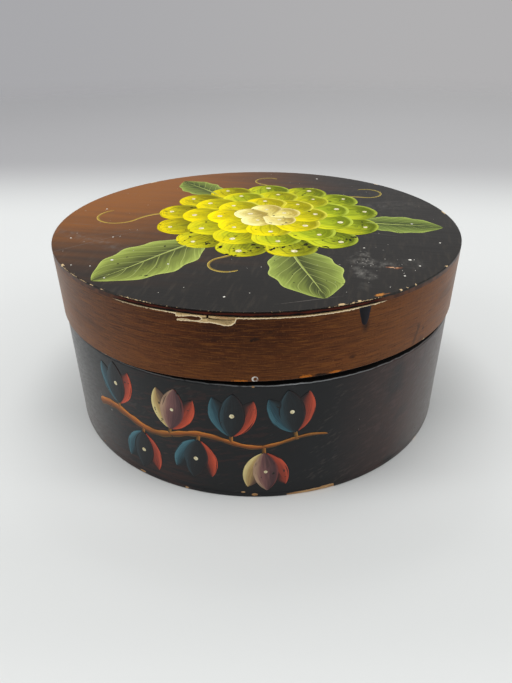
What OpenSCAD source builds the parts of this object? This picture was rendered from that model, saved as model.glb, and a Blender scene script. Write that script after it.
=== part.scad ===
// Round painted wooden box with a lift-off lid.
// Bent hoops of thin wood, a board under the body and a board over the lid, and an inner
// hoop that stands up as a collar to hold the lid. Front of the box is -Y, the table is z = 0.

/* [Body] */
// Radius of the body's outer hoop
body_r = 99.2; // [80:0.1:120]
// Height of the body from the table to the top edge of its outer hoop
body_h = 60.3; // [50:0.1:90]
// Thickness of the base board
base_board_t = 2.4; // [1.8:0.1:4]
// Wall of the body's outer hoop
body_wall = 2.4; // [1.8:0.1:3.2]
// Wall of the inner hoop
liner_wall = 1.8; // [1.2:0.1:2.6]
// Height of the collar, which is the inner hoop's part above the outer hoop
collar_h = 9; // [5:0.5:16]
// Lead-in bevel on the collar's top edge
collar_bevel = 0.7; // [0.3:0.1:1]
// Radius worn onto the body hoop's top outside edge
body_edge_round = 1; // [0.4:0.1:1.4]
// Radius worn onto the base board's bottom edge
foot_round = 0.6; // [0.2:0.1:1]

/* [Lid] */
// How far the lid hoop stands out past the body hoop
lid_step = 0.8; // [0.4:0.1:1.6]
// Gap between the collar and the inside of the lid hoop
lid_fit = 0.8; // [0.4:0.1:1.2]
// Gap left under the lid hoop where it is deepest
lid_seat_gap = 0.3; // [0.2:0.1:0.6]
// Height of the lid hoop where it is deepest, at -X
lid_hoop_h = 30.1; // [24:0.1:45]
// How much shorter the lid hoop is at +X, where the gap opens
lid_hoop_taper = 1.9; // [0:0.1:2.5]
// Turn from the front to the middle of a shallow hollow in the lid hoop's lower edge
lid_hollow_at = 18; // [-30:1:30]
// Height of that hollow
lid_hollow_h = 1.4; // [0.5:0.1:2]
// Length of that hollow across the lid
lid_hollow_l = 154; // [100:1:170]
// Bevel planed onto the lid hoop's lower edge, inside and outside
lid_hoop_bevel = 0.4; // [0.2:0.1:0.8]
// Thickness of the lid board
lid_board_t = 2.4; // [1.8:0.1:4]
// Radius worn onto the lid board's top edge
lid_edge_round = 0.5; // [0.2:0.1:1]

/* [Hoop seams] */
// Width of the fine line where a hoop's ends are scarfed and glued
seam_w = 0.3; // [0.2:0.05:0.5]
// Depth of that line
seam_deep = 0.5; // [0.3:0.05:0.8]
// Lean of the line from upright
seam_lean = 24; // [0:1:35]
// Length of the scarf, from the line outside the hoop to the line inside it
scarf_l = 38; // [20:1:60]
// Turn from the front to the body hoop's seam
body_seam_at = 172; // [150:1:210]
// Turn from the front to the inner hoop's seam
liner_seam_at = 128; // [100:1:148]
// Turn from the front to the lid hoop's seam
lid_seam_at = 196; // [150:1:210]

/* [Age and damage] */
// Left end of the open joint under the lid board, in degrees from the front
crack_from = -34; // [-60:1:-20]
// Right end of the open joint
crack_to = 29; // [15:1:60]
// Height of the open joint
crack_h = 0.4; // [0.2:0.05:0.8]
// Depth of the open joint
crack_deep = 1.1; // [0.6:0.1:1.6]
// How far the lid board's bare edge lies back over the open joint
bare_edge_deep = 0.5; // [0.3:0.1:0.6]
// Turn from the front to the flake lost from the lid hoop's top edge
flake_at = -11; // [-16:1:16]
// Width of that flake
flake_w = 23; // [12:0.5:30]
// Height of that flake
flake_h = 3.9; // [2:0.1:8]
// Depth of that flake
flake_deep = 0.5; // [0.3:0.1:0.9]
// Turn from the front to the splinter lost from the base board's edge
splinter_at = 13.5; // [5:0.5:30]
// Width of that splinter
splinter_w = 20; // [10:0.5:28]
// Height of that splinter
splinter_h = 1.3; // [0.8:0.1:1.6]
// Depth of that splinter
splinter_deep = 0.8; // [0.4:0.1:1.2]

/* [Painting on the lid] */
// Thickness of one coat of paint
paint_t = 0.15; // [0.1:0.01:0.2]
// Place of the flower's middle, right of the lid's middle
flower_x = 6; // [0:1:10]
// Place of the flower's middle, behind the lid's middle
flower_y = 8; // [4:1:14]
// Reach of the outermost petals from the flower's middle
flower_reach = 58; // [54:1:62]
// Reach of the petals round the middle
heart_reach = 18; // [16:0.5:20]
// Number of outermost petals
outer_count = 13; // [11:1:15]
// Number of petals in the second row
middle_count = 11; // [9:1:12]
// Number of petals in the third row
inner_count = 8; // [7:1:9]
// Number of petals round the middle
heart_count = 5; // [4:1:6]
// Bare line left between two petals
petal_gap = 0.5; // [0.3:0.1:0.8]
// Radius of a light dot
dot_r = 1.2; // [0.8:0.1:1.6]
// Length of the longest leaf, with the part tucked under the petals
leaf_l = 62; // [54:1:64]
// How far a leaf's base is tucked under the outermost petals
leaf_tuck = 12; // [9:1:15]
// Breadth of a leaf for each millimetre of its length
leaf_slim = 0.56; // [0.45:0.01:0.65]
// Width of a leaf's middle vein at its base
vein_w = 1.6; // [1:0.1:2.4]
// Radius of a tendril's widest bend
tendril_r = 22; // [16:1:24]
// Width of a tendril
tendril_w = 1.7; // [1:0.1:2.4]

/* [Painting on the body] */
// Length of a bud
bud_l = 22; // [18:0.5:24]
// Clear space between two neighbouring buds
bud_gap = 4; // [2:0.5:8]
// Number of buds along the twig
bud_count = 7; // [5:1:8]
// Turn from the front to the twig's thick end
twig_from = -47; // [-55:1:-40]
// Width of the twig at its thick end
twig_w = 4.4; // [3:0.1:5]
// Rise and fall of the twig
twig_wave = 2.4; // [1:0.1:3]

/* [Hidden] */
$fn = 96;

// Radii that follow from the fits
lid_r = body_r + lid_step;
liner_r = body_r - body_wall;
lid_inner_r = liner_r + lid_fit;
collar_top = body_h + collar_h;

// Heights that stack up from the table
lid_low = body_h + lid_seat_gap;
lid_hoop_top = lid_low + lid_hoop_h;
lid_top = lid_hoop_top + lid_board_t;
lid_slope = atan(lid_hoop_taper / (2 * lid_r));
hollow_r = (lid_hollow_l * lid_hollow_l / 4 + lid_hollow_h * lid_hollow_h) / (2 * lid_hollow_h);

// Spare length of a cutter past the wood it cuts
past = 2;

// Each leaf's turn about the flower's middle, and its length
leaves = [[228, leaf_l], [281, 0.87 * leaf_l], [346, 0.68 * leaf_l], [126, 0.65 * leaf_l]];
leaf_base = flower_reach - leaf_tuck;

// Each tendril: turn about the flower's middle, side it bends to, then the radius and the
// sweep of its two arcs
tendrils = [
    [172, 0, tendril_r, 68, 0.5 * tendril_r, 215],
    [38, 1, 0.85 * tendril_r, 60, 0.38 * tendril_r, 230],
    [84, 0, 0.75 * tendril_r, 62, 0.34 * tendril_r, 200],
    [255, 1, 0.9 * tendril_r, 48, 0.36 * tendril_r, 190]
];

// Four rows of petals step evenly from the heart's reach out to the flower's
row_step = (flower_reach - heart_reach) / 3;
petal_tip = 0.86 * row_step;
heart_tip = heart_reach / 2.1;

// Middle of each row's round tips, and the turn that staggers the row
outer_mid = flower_reach - petal_tip;
middle_mid = outer_mid - row_step;
inner_mid = middle_mid - row_step;
heart_mid = heart_reach - heart_tip;
outer_turn = 5;
middle_turn = 14;
inner_turn = 2;
heart_turn = 20;

// The twig runs at half height, and buds stand on it and hang from it by turns
twig_z = (base_board_t + body_h) / 2;
bud_w = bud_l * 0.88;
bud_step = (bud_w / 2 + bud_gap) / body_r * 180 / PI;
twig_steps = 2 * bud_count;
stalk_l = 3;
stalk_w = 1.8;
bud_mid_w = 0.5 * bud_l;
bud_side_l = 0.92 * bud_l;
bud_side_w = 0.42 * bud_l;
bud_side_lean = 21;
bud_side_out = 0.05 * bud_l;
bud_side_up = 0.02 * bud_l;
// Which buds are the pale ones, counted from the thick end
pale_buds = [2, 5];

function is_pale(i) = len(search(i, pale_buds)) > 0;
function bud_up(i) = (i % 2 == 0) ? 1 : -1;
function bud_angle(i) = twig_from + (1.1 + i) * bud_step;
twig_step = (bud_angle(bud_count - 1) + bud_step - twig_from) / twig_steps;
function twig_height(k) = twig_z + twig_wave * sin(k * 62);
function twig_angle(k) = twig_from + k * twig_step;
function bud_root(i) = twig_height((bud_angle(i) - twig_from) / twig_step);
function twig_width(k) = twig_w * (1 - 0.72 * k / twig_steps);
function bud_lean(i) = 10 * sin(i * 140);

// Section of a hoop that stands between z0 and z1, with its top outside edge rounded
module hoop_section(r_out, wall, z0, z1, edge) {
    difference() {
        translate([r_out - wall, z0]) square([wall, z1 - z0]);
        translate([r_out - edge, z1 - edge]) difference() {
            square([edge + past, edge + past]);
            circle(r = edge);
        }
    }
}

// Fine lines in a hoop where its two tapered ends lie over each other and are glued: one
// outside, and one inside a scarf's length further round
module scarf_lines(r_in, r_out, z0, z1, turn) {
    scarf_line(r_out, z0, z1, turn);
    scarf_line(r_in, z0, z1, turn - scarf_l / r_in * 180 / PI);
}

// One such line, across the wall's face at radius r
module scarf_line(r, z0, z1, turn) {
    rotate([0, 0, turn])
        translate([0, -r, (z0 + z1) / 2])
            rotate([0, seam_lean, 0])
                cube([seam_w, 2 * seam_deep, 2 * (z1 - z0)], center = true);
}

// Prism that stands out of the box's side at a turn from the front and a height
module on_side(turn, z, r_in, r_out) {
    rotate([0, 0, turn])
        translate([0, -r_in, z])
            rotate([90, 0, 0])
                linear_extrude(height = r_out - r_in) children();
}

// Pointed oval of a length and a width, with its base at the origin and its tip at +Y
module pointed_oval(l, w) {
    r = (l * l + w * w) / (4 * w);
    intersection() {
        translate([r - w / 2, l / 2]) circle(r = r);
        translate([w / 2 - r, l / 2]) circle(r = r);
    }
}

// Disc under the body, flush with the outer hoop, with its bottom edge worn round
module base_board() {
    color("#24262a")
        difference() {
            rotate_extrude()
                difference() {
                    square([body_r, base_board_t]);
                    translate([body_r - foot_round, 0]) difference() {
                        translate([0, -past]) square([foot_round + past, foot_round + past]);
                        translate([0, foot_round]) circle(r = foot_round);
                    }
                }
            splinter();
        }
}

// Long sliver split off the base board's front edge
module splinter() {
    on_side(splinter_at, 0, body_r - splinter_deep, body_r + past)
        polygon([
            [-splinter_w / 2, -past],
            [-splinter_w / 2, splinter_h * 0.3],
            [-splinter_w * 0.15, splinter_h * 0.7],
            [splinter_w * 0.3, splinter_h],
            [splinter_w / 2, splinter_h * 0.6],
            [splinter_w / 2, -past]
        ]);
}

// Outer hoop of the body, bent from thin wood, glued on the base board
module body_hoop() {
    color("#2a2526")
        difference() {
            rotate_extrude() hoop_section(body_r, body_wall, base_board_t, body_h, body_edge_round);
            scarf_line(body_r, base_board_t, body_h, body_seam_at);
        }
}

// Inner hoop, glued inside the outer one, whose top is the collar that holds the lid
module liner_hoop() {
    color("#b98d5e")
        difference() {
            rotate_extrude()
                difference() {
                    translate([liner_r - liner_wall, base_board_t])
                        square([liner_wall, collar_top - base_board_t]);
                    translate([liner_r, collar_top]) rotate(45)
                        square(collar_bevel * sqrt(2), center = true);
                }
            scarf_lines(liner_r - liner_wall, liner_r, base_board_t, collar_top, liner_seam_at);
        }
}

// Hoop of the lid, trimmed a little out of true, with the flake and the open joint at the front
module lid_hoop() {
    color("#5c3820")
        difference() {
            rotate_extrude()
                translate([lid_inner_r, lid_low]) square([lid_r - lid_inner_r, lid_hoop_h]);
            lid_trim();
            open_joint();
            lost_flake();
            scarf_lines(lid_inner_r, lid_r, lid_low, lid_hoop_top, lid_seam_at);
        }
}

// Wood trimmed off below the lid hoop's sloping lower edge, planed off its two corners, and
// hollowed out of the edge at the front in one long shallow arc
module lid_trim() {
    bevel = lid_hoop_bevel * sqrt(2);
    translate([0, 0, lid_low + lid_hoop_taper / 2])
        rotate([0, -lid_slope, 0]) {
            translate([0, 0, -lid_hoop_h / 2])
                cube([3 * lid_r, 3 * lid_r, lid_hoop_h], center = true);
            rotate_extrude() {
                translate([lid_inner_r, 0]) rotate(45) square(bevel, center = true);
                translate([lid_r, 0]) rotate(45) square(bevel, center = true);
            }
            rotate([0, 0, lid_hollow_at])
                translate([0, 0, lid_hollow_h - hollow_r])
                    rotate([90, 0, 0])
                        cylinder(r = hollow_r, h = lid_r + past, $fn = 720);
        }
}

// Cutter along the front of the lid, from a depth outwards, between two heights
module front_cut(deep, z0, z1) {
    rotate([0, 0, crack_from - 90])
        rotate_extrude(angle = crack_to - crack_from)
            translate([lid_r - deep, z0]) square([deep + past, z1 - z0]);
}

// Joint between the lid board and its hoop, sprung open along the front
module open_joint() {
    front_cut(crack_deep, lid_hoop_top - crack_h, lid_hoop_top + past);
}

// Shallow pocket where a flake of wood and paint came off below the joint, widest at its right
// end, round an island of paint that held
module lost_flake() {
    on_side(flake_at, lid_hoop_top, lid_r - flake_deep, lid_r + past)
        difference() {
            polygon([
                [-flake_w * 0.5, past],
                [-flake_w * 0.5, -flake_h * 0.72],
                [-flake_w * 0.42, -flake_h * 0.82],
                [-flake_w * 0.2, -flake_h * 0.64],
                [flake_w * 0.17, -flake_h * 0.74],
                [flake_w * 0.34, -flake_h],
                [flake_w * 0.4, -flake_h * 0.98],
                [flake_w * 0.47, -flake_h * 0.72],
                [flake_w * 0.5, -flake_h * 0.35],
                [flake_w * 0.5, past]
            ]);
            polygon([
                [-flake_w * 0.24, -flake_h * 0.54],
                [-flake_w * 0.24, -flake_h * 0.24],
                [-flake_w * 0.16, flake_h * 0.03],
                [-flake_w * 0.06, -flake_h * 0.36],
                [-flake_w * 0.07, -flake_h * 0.54]
            ]);
        }
}

// Disc glued on top of the lid hoop, flush with it, with its top edge worn round and its
// edge bare of filler and paint over the open joint
module lid_board() {
    color("#2b2724")
        difference() {
            rotate_extrude()
                difference() {
                    translate([0, lid_hoop_top]) square([lid_r, lid_board_t]);
                    translate([lid_r - lid_edge_round, lid_top - lid_edge_round]) difference() {
                        square([lid_edge_round + past, lid_edge_round + past]);
                        circle(r = lid_edge_round);
                    }
                }
            front_cut(bare_edge_deep, lid_hoop_top - past, lid_top - lid_edge_round);
        }
}

// One coat of paint laid on the lid board, or a second coat on the first
module lid_coat(coat) {
    translate([0, 0, lid_top + (coat - 1) * paint_t])
        linear_extrude(height = paint_t) children();
}

// Petal along +X with a round tip, kept inside its share of the row
module petal(count, mid, tip, gap) {
    half = 180 / count;
    start = gap / 2 / sin(half);
    far = mid + tip + past;
    intersection() {
        union() {
            translate([mid, 0]) circle(r = tip);
            translate([0, -tip]) square([mid, 2 * tip]);
        }
        polygon([
            [start, 0],
            [far, (far - start) * tan(half)],
            [far, -(far - start) * tan(half)]
        ]);
    }
}

// Row of petals round the flower's middle
module petal_row(count, mid, tip, turn) {
    translate([flower_x, flower_y])
        for (i = [0 : count - 1])
            rotate(turn + i * 360 / count) petal(count, mid, tip, petal_gap);
}

// Whole ground that a row covers, used to cut away what lies under it
module row_ground(count, mid, tip, turn) {
    translate([flower_x, flower_y]) {
        circle(r = mid);
        for (i = [0 : count - 1])
            rotate(turn + i * 360 / count) translate([mid, 0]) circle(r = tip);
    }
}

// Place children at a leaf's base with +Y towards its tip
module at_leaf(leaf) {
    translate([flower_x, flower_y])
        rotate(leaf[0] - 90) translate([0, leaf_base]) children();
}

// Middle vein of a leaf, tapering to nothing near the tip
module vein(leaf) {
    at_leaf(leaf)
        polygon([[-vein_w / 2, 0], [vein_w / 2, 0], [0, leaf[1] * 0.93]]);
}

// Leaves that show past the flower, kept on the flat of the lid board
module lid_leaves() {
    color("#75833c")
        lid_coat(1)
            difference() {
                intersection() {
                    circle(r = lid_r - lid_edge_round);
                    for (leaf = leaves)
                        at_leaf(leaf) pointed_oval(leaf[1], leaf[1] * leaf_slim);
                }
                for (leaf = leaves)
                    vein(leaf);
                row_ground(outer_count, outer_mid, petal_tip, outer_turn);
            }
}

// Middle veins of the leaves
module lid_leaf_veins() {
    color("#a5b552")
        lid_coat(1)
            difference() {
                for (leaf = leaves)
                    vein(leaf);
                row_ground(outer_count, outer_mid, petal_tip, outer_turn);
            }
}

// Outermost row of petals
module lid_outer_petals() {
    color("#8f9a26")
        lid_coat(1)
            difference() {
                petal_row(outer_count, outer_mid, petal_tip, outer_turn);
                row_ground(middle_count, middle_mid, petal_tip, middle_turn);
            }
}

// Second row of petals
module lid_middle_petals() {
    color("#b0bb24")
        lid_coat(1)
            difference() {
                petal_row(middle_count, middle_mid, petal_tip, middle_turn);
                row_ground(inner_count, inner_mid, petal_tip, inner_turn);
            }
}

// Third row of petals
module lid_inner_petals() {
    color("#dcd41c")
        lid_coat(1)
            difference() {
                petal_row(inner_count, inner_mid, petal_tip, inner_turn);
                row_ground(heart_count, heart_mid, heart_tip, heart_turn);
            }
}

// Petals round the flower's middle
module lid_heart_petals() {
    color("#efe6a4")
        lid_coat(1) petal_row(heart_count, heart_mid, heart_tip, heart_turn);
}

// Ring of light dots, one on each petal of a row
module dot_ring(count, at, turn) {
    translate([flower_x, flower_y])
        for (i = [0 : count - 1])
            rotate(turn + i * 360 / count) translate([at, 0]) circle(r = dot_r);
}

// Light dots laid over the petals
module lid_dots() {
    color("#f4efc8")
        lid_coat(2) {
            dot_ring(outer_count, outer_mid + petal_tip * 0.45, outer_turn);
            dot_ring(middle_count, middle_mid + petal_tip * 0.45, middle_turn);
            dot_ring(inner_count, inner_mid + petal_tip * 0.45, inner_turn);
            dot_ring(heart_count, heart_mid, heart_turn);
        }
}

// Arc of a painted line, of radius r about the origin
module painted_arc(r, from, sweep) {
    rotate([0, 0, from])
        rotate_extrude(angle = sweep)
            translate([r - tendril_w / 2, 0]) square([tendril_w, paint_t]);
}

// Curled line that leaves the petals' rim at a turn, bends one way and then curls the other
module tendril(turn, flip, r1, sweep1, r2, sweep2) {
    end = sweep1 - 90;
    translate([flower_x, flower_y, lid_top])
        rotate([0, 0, turn])
            translate([outer_mid, 0, 0])
                mirror([0, flip, 0])
                    translate([0, r1, 0]) {
                        painted_arc(r1, -90, sweep1);
                        translate(r1 * [cos(end), sin(end), 0]) brush_mark();
                        translate((r1 + r2) * [cos(end), sin(end), 0]) {
                            painted_arc(r2, end + 180, -sweep2);
                            rotate([0, 0, end + 180 - sweep2]) translate([r2, 0, 0]) brush_mark();
                        }
                    }
}

// Round mark where the brush turns or lifts
module brush_mark() {
    cylinder(r = 0.62 * tendril_w, h = paint_t);
}

// Gold tendrils curling out from under the flower
module lid_tendrils() {
    color("#c0a021")
        difference() {
            for (t = tendrils)
                tendril(t[0], t[1], t[2], t[3], t[4], t[5]);
            translate([0, 0, lid_top - past]) linear_extrude(height = 2 * past) {
                row_ground(outer_count, outer_mid, petal_tip, outer_turn);
                translate([flower_x, flower_y]) circle(r = flower_reach - 0.3 * petal_tip);
                for (leaf = leaves)
                    at_leaf(leaf) pointed_oval(leaf[1], leaf[1] * leaf_slim);
            }
        }
}

// Coat of paint round the outer hoop, cut to the shapes of its children
module side_coat(coat) {
    intersection() {
        rotate_extrude()
            translate([body_r + (coat - 1) * paint_t, base_board_t])
                square([paint_t, body_h - body_edge_round - base_board_t]);
        union() children();
    }
}

// Prism through the side paint only
module on_paint(turn, z) {
    on_side(turn, z, body_r * 0.94, body_r + 3 * paint_t) children();
}

// Place children on the side with the bud's base at the origin and its tip at +Y
module at_bud(i) {
    on_paint(bud_angle(i), bud_root(i))
        mirror([0, 1 - bud_up(i)])
            rotate(bud_lean(i))
                translate([0, stalk_l]) children();
}

// Middle petal of a bud
module bud_middle() {
    pointed_oval(bud_l, bud_mid_w);
}

// Side petal of a bud, leaning left for -1 and right for 1, before the middle one covers it
module bud_side_whole(way) {
    translate([way * bud_side_out, bud_side_up])
        rotate(-way * bud_side_lean)
            pointed_oval(bud_side_l, bud_side_w);
}

// The part of a side petal that shows past the middle one
module bud_side(way) {
    difference() {
        bud_side_whole(way);
        bud_middle();
    }
}

// Outline that a whole bud covers
module bud_ground() {
    bud_middle();
    bud_side_whole(-1);
    bud_side_whole(1);
}

// Round knuckle of the twig at a step, a little wider than the stretches that meet there
module twig_knuckle(k) {
    on_paint(twig_angle(k), twig_height(k)) circle(r = twig_width(k) * 0.54);
}

// Tapering stretch of twig from one step to the next
module twig_stretch(k) {
    mid_angle = (twig_angle(k) + twig_angle(k + 1)) / 2;
    reach = (twig_angle(k + 1) - twig_angle(k)) / 2 * PI / 180 * body_r;
    low = twig_height(k) - twig_z;
    high = twig_height(k + 1) - twig_z;
    on_paint(mid_angle, twig_z)
        polygon([
            [-reach, low - twig_width(k) / 2],
            [reach, high - twig_width(k + 1) / 2],
            [reach, high + twig_width(k + 1) / 2],
            [-reach, low + twig_width(k) / 2]
        ]);
}

// Twig that carries the buds, with a short stalk up or down to each
module body_twig() {
    color("#bb7426")
        difference() {
            side_coat(1) {
                for (k = [0 : twig_steps - 1])
                    twig_stretch(k);
                for (k = [0 : twig_steps])
                    twig_knuckle(k);
                for (i = [0 : bud_count - 1])
                    at_bud(i) translate([-stalk_w / 2, -stalk_l]) square([stalk_w, stalk_l + 2]);
            }
            for (i = [0 : bud_count - 1])
                at_bud(i) bud_ground();
        }
}

// Slate-blue petals on the left of the dark buds
module body_teal_petals() {
    color("#3a6672")
        side_coat(1)
            for (i = [0 : bud_count - 1])
                if (!is_pale(i))
                    at_bud(i) bud_side(-1);
}

// Orange-red petals on the right of every bud
module body_red_petals() {
    color("#c84a32")
        side_coat(1)
            for (i = [0 : bud_count - 1])
                at_bud(i) bud_side(1);
}

// Dark middle petals
module body_dark_petals() {
    color("#272f36")
        side_coat(1)
            for (i = [0 : bud_count - 1])
                if (!is_pale(i))
                    at_bud(i) bud_middle();
}

// Mauve middle petals of the pale buds
module body_mauve_petals() {
    color("#7d4f55")
        side_coat(1)
            for (i = [0 : bud_count - 1])
                if (is_pale(i))
                    at_bud(i) bud_middle();
}

// Cream petals on the left of the pale buds
module body_cream_petals() {
    color("#cdbf86")
        side_coat(1)
            for (i = [0 : bud_count - 1])
                if (is_pale(i))
                    at_bud(i) bud_side(-1);
}

// Light dot on the middle petal of each bud
module body_dots() {
    color("#e6dfb4")
        side_coat(2)
            for (i = [0 : bud_count - 1])
                at_bud(i) translate([0, bud_l * 0.5]) circle(r = dot_r);
}

base_board();
body_hoop();
liner_hoop();
lid_hoop();
lid_board();
lid_leaves();
lid_leaf_veins();
lid_outer_petals();
lid_middle_petals();
lid_inner_petals();
lid_heart_petals();
lid_dots();
lid_tendrils();
body_twig();
body_teal_petals();
body_red_petals();
body_dark_petals();
body_mauve_petals();
body_cream_petals();
body_dots();
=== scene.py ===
import math
import random

import bmesh
import bpy
from mathutils import Matrix, Vector, noise


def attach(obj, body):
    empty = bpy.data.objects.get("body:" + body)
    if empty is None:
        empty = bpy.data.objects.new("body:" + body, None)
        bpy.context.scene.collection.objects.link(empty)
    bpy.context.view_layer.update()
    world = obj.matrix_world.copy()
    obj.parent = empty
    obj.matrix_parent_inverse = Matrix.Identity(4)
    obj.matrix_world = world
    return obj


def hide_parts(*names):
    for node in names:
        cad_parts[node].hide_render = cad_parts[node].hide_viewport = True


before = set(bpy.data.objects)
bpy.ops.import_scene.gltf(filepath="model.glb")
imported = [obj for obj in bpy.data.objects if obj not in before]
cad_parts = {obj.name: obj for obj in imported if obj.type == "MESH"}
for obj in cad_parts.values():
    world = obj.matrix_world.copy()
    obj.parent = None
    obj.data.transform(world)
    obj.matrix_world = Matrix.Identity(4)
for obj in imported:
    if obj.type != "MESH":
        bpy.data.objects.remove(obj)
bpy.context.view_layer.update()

# The eye
# It stands in front of the box at a short arm's length and looks down on the lid, turned a
# hair off level as the hand held it.
picture_h = 683
focal_pixels = 552.4
eye_drop = math.radians(30.83)
eye_roll = math.radians(-0.539)
eye_reach = 0.31915
eye_target = Vector((-0.00071, 0, 0.02114))
forward = Vector((0, math.cos(eye_drop), -math.sin(eye_drop)))
upward = Vector((0, math.sin(eye_drop), math.cos(eye_drop)))
eye_right = math.cos(eye_roll) * Vector((1, 0, 0)) + math.sin(eye_roll) * upward
eye_up = math.cos(eye_roll) * upward - math.sin(eye_roll) * Vector((1, 0, 0))
eye_data = bpy.data.cameras.new("eye")
eye_data.sensor_width = 36
eye_data.lens = 36 * focal_pixels / picture_h
eye_data.clip_start = 0.01
eye = bpy.data.objects.new("eye", eye_data)
eye.matrix_world = Matrix.Translation(eye_target - eye_reach * forward) @ Matrix(
    (eye_right, eye_up, -forward)
).transposed().to_4x4()
bpy.context.scene.collection.objects.link(eye)
bpy.context.scene.camera = eye

# Base board
# A turned disc of thin wood, flush with the outer hoop that is glued on it. It is lacquered
# black outside, left raw inside, and a long sliver has split off its front edge.
mm = 0.001
body_r = 99.2
board_t = 2.4
foot_round = 0.6
splinter_turn = 13.5
splinter_outline = [
    (-11, -1), (-11, 1.2), (-7, 1.7), (-1, 1.9), (4, 2.0), (6, 2.5), (10.8, 2.3), (11.6, -1),
]
splinter_deep = 0.25
block_steps = 15
merge_reach = 0.01
board_bare_r = 94.9
foot_side_r = 96
raw_inside = 2
nowhere = -5


def arc(centre, radius, start, end, steps):
    """Points (radius from the axis, height) along an arc of a section."""
    turns = [math.radians(start + (end - start) * i / steps) for i in range(steps + 1)]
    return [(centre[0] + radius * math.cos(t), centre[1] + radius * math.sin(t)) for t in turns]


def rows(start, end, count):
    """Points along a straight stretch of a section, without its last point."""
    return [
        (start[0] + (end[0] - start[0]) * i / count, start[1] + (end[1] - start[1]) * i / count)
        for i in range(count)
    ]


def spun(section, closed=True, stretches=((-60, 120, 480), (60, 240, 150))):
    """Spins a section in mm round the box's axis, along stretches that give their start, sweep
    and number of steps. The turn is made in short blocks that are merged at the end."""
    bm = bmesh.new()
    block = bpy.data.meshes.new("block")
    for start, sweep, steps in stretches:
        for first in range(0, steps, block_steps):
            part = bmesh.new()
            turn = Matrix.Rotation(math.radians(start + sweep * first / steps), 4, "Z")
            points = [part.verts.new(turn @ Vector((0, -r * mm, z * mm))) for r, z in section]
            ends = points[1:] + points[:1] if closed else points[1:]
            lines = [part.edges.new(pair) for pair in zip(points, ends)]
            bmesh.ops.spin(
                part,
                geom=points + lines,
                cent=(0, 0, 0),
                axis=(0, 0, 1),
                angle=math.radians(sweep * block_steps / steps),
                steps=block_steps,
            )
            part.to_mesh(block)
            part.free()
            bm.from_mesh(block)
    bpy.data.meshes.remove(block)
    bmesh.ops.remove_doubles(bm, verts=bm.verts[:], dist=merge_reach * mm)
    bmesh.ops.recalc_face_normals(bm, faces=bm.faces[:])
    return bm


def side_place(co):
    """Turn from the front in degrees, distance from the axis and height in mm."""
    return math.degrees(math.atan2(co.x, -co.y)), math.hypot(co.x, co.y) / mm, co.z / mm


def inside_by(outline, x, y):
    """How far a point lies inside an outline, and less than nothing outside it."""
    inside = False
    nearest = 1e9
    for (ax, ay), (bx, by) in zip(outline, outline[1:] + outline[:1]):
        if (ay > y) != (by > y) and x < ax + (y - ay) * (bx - ax) / (by - ay):
            inside = not inside
        along = ((x - ax) * (bx - ax) + (y - ay) * (by - ay)) / ((bx - ax) ** 2 + (by - ay) ** 2)
        along = min(1, max(0, along))
        nearest = min(nearest, math.hypot(x - ax - along * (bx - ax), y - ay - along * (by - ay)))
    return nearest if inside else -nearest


def in_oval(spot, turn, z, radius):
    """How far inside an oval chip a place on a side is. The chip is turn, height, and its two
    half widths in mm."""
    at_turn, at_z, half_w, half_h = spot
    away = math.hypot(math.radians(turn - at_turn) * radius / half_w, (z - at_z) / half_h)
    return (1 - away) * min(half_w, half_h)


def soft_step(value, low, high):
    """0 below low, 1 above high and a smooth rise between."""
    t = min(1, max(0, (value - low) / (high - low)))
    return t * t * (3 - 2 * t)


def grit(x, y, z):
    """Smooth noise from -1 to 1."""
    return noise.noise(Vector((x, y, z)))


def press_in(vert, depth):
    """Moves a point of a side towards the axis."""
    reach = math.hypot(vert.co.x, vert.co.y)
    vert.co.xy *= 1 - depth * mm / reach


def finished(name, bm, finish, sharp=35):
    """Makes the object of a mesh whose place is already in its points."""
    mesh = bpy.data.meshes.new(name)
    bm.to_mesh(mesh)
    bm.free()
    mesh.shade_smooth()
    mesh.set_sharp_from_angle(angle=math.radians(sharp))
    mesh.materials.append(finish)
    piece = bpy.data.objects.new(name, mesh)
    bpy.context.scene.collection.objects.link(piece)
    return piece


def hue(code):
    """A colour as it is seen, written #rrggbb, as the light values that a shader takes."""
    parts = [int(code[i : i + 2], 16) / 255 for i in (1, 3, 5)]
    return [p / 12.92 if p <= 0.04045 else ((p + 0.055) / 1.055) ** 2.4 for p in parts] + [1]


def join(value, socket):
    """Links a node's output to a socket, or writes a value or a #rrggbb colour on it."""
    if isinstance(value, bpy.types.Node):
        value = value.outputs[0]
    if isinstance(value, bpy.types.NodeSocket):
        socket.id_data.links.new(value, socket)
    else:
        socket.default_value = hue(value) if isinstance(value, str) else value


def put(tree, kind, sockets=None, **settings):
    """Adds a shader node with its settings and its sockets."""
    made = tree.nodes.new("ShaderNode" + kind)
    for name, value in settings.items():
        setattr(made, name, value)
    for socket, value in (sockets or {}).items():
        join(value, made.inputs[socket])
    return made


def tree_of(*values):
    """The node tree that the values for a new node come from."""
    return next(value.id_data for value in values if hasattr(value, "id_data"))


def calc(operation, a, b=0.0, c=0.0):
    """A sum or comparison of values."""
    return put(tree_of(a, b, c), "Math", {0: a, 1: b, 2: c}, operation=operation).outputs[0]


def times(a, b):
    return calc("MULTIPLY", a, b)


def times_plus(a, b, c):
    """The product of a and b, with c added."""
    return calc("MULTIPLY_ADD", a, b, c)


def apart(a, b):
    """How far two values are from one another."""
    return calc("ABSOLUTE", calc("SUBTRACT", a, b))


def vector(operation, a, b):
    """A sum of places or directions."""
    return put(tree_of(a, b), "VectorMath", {0: a, 1: b}, operation=operation).outputs[0]


def reach_of(a):
    return put(tree_of(a), "VectorMath", {0: a}, operation="LENGTH").outputs["Value"]


def xyz(a):
    """The three values of a place or direction."""
    return put(tree_of(a), "SeparateXYZ", {0: a}).outputs


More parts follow.
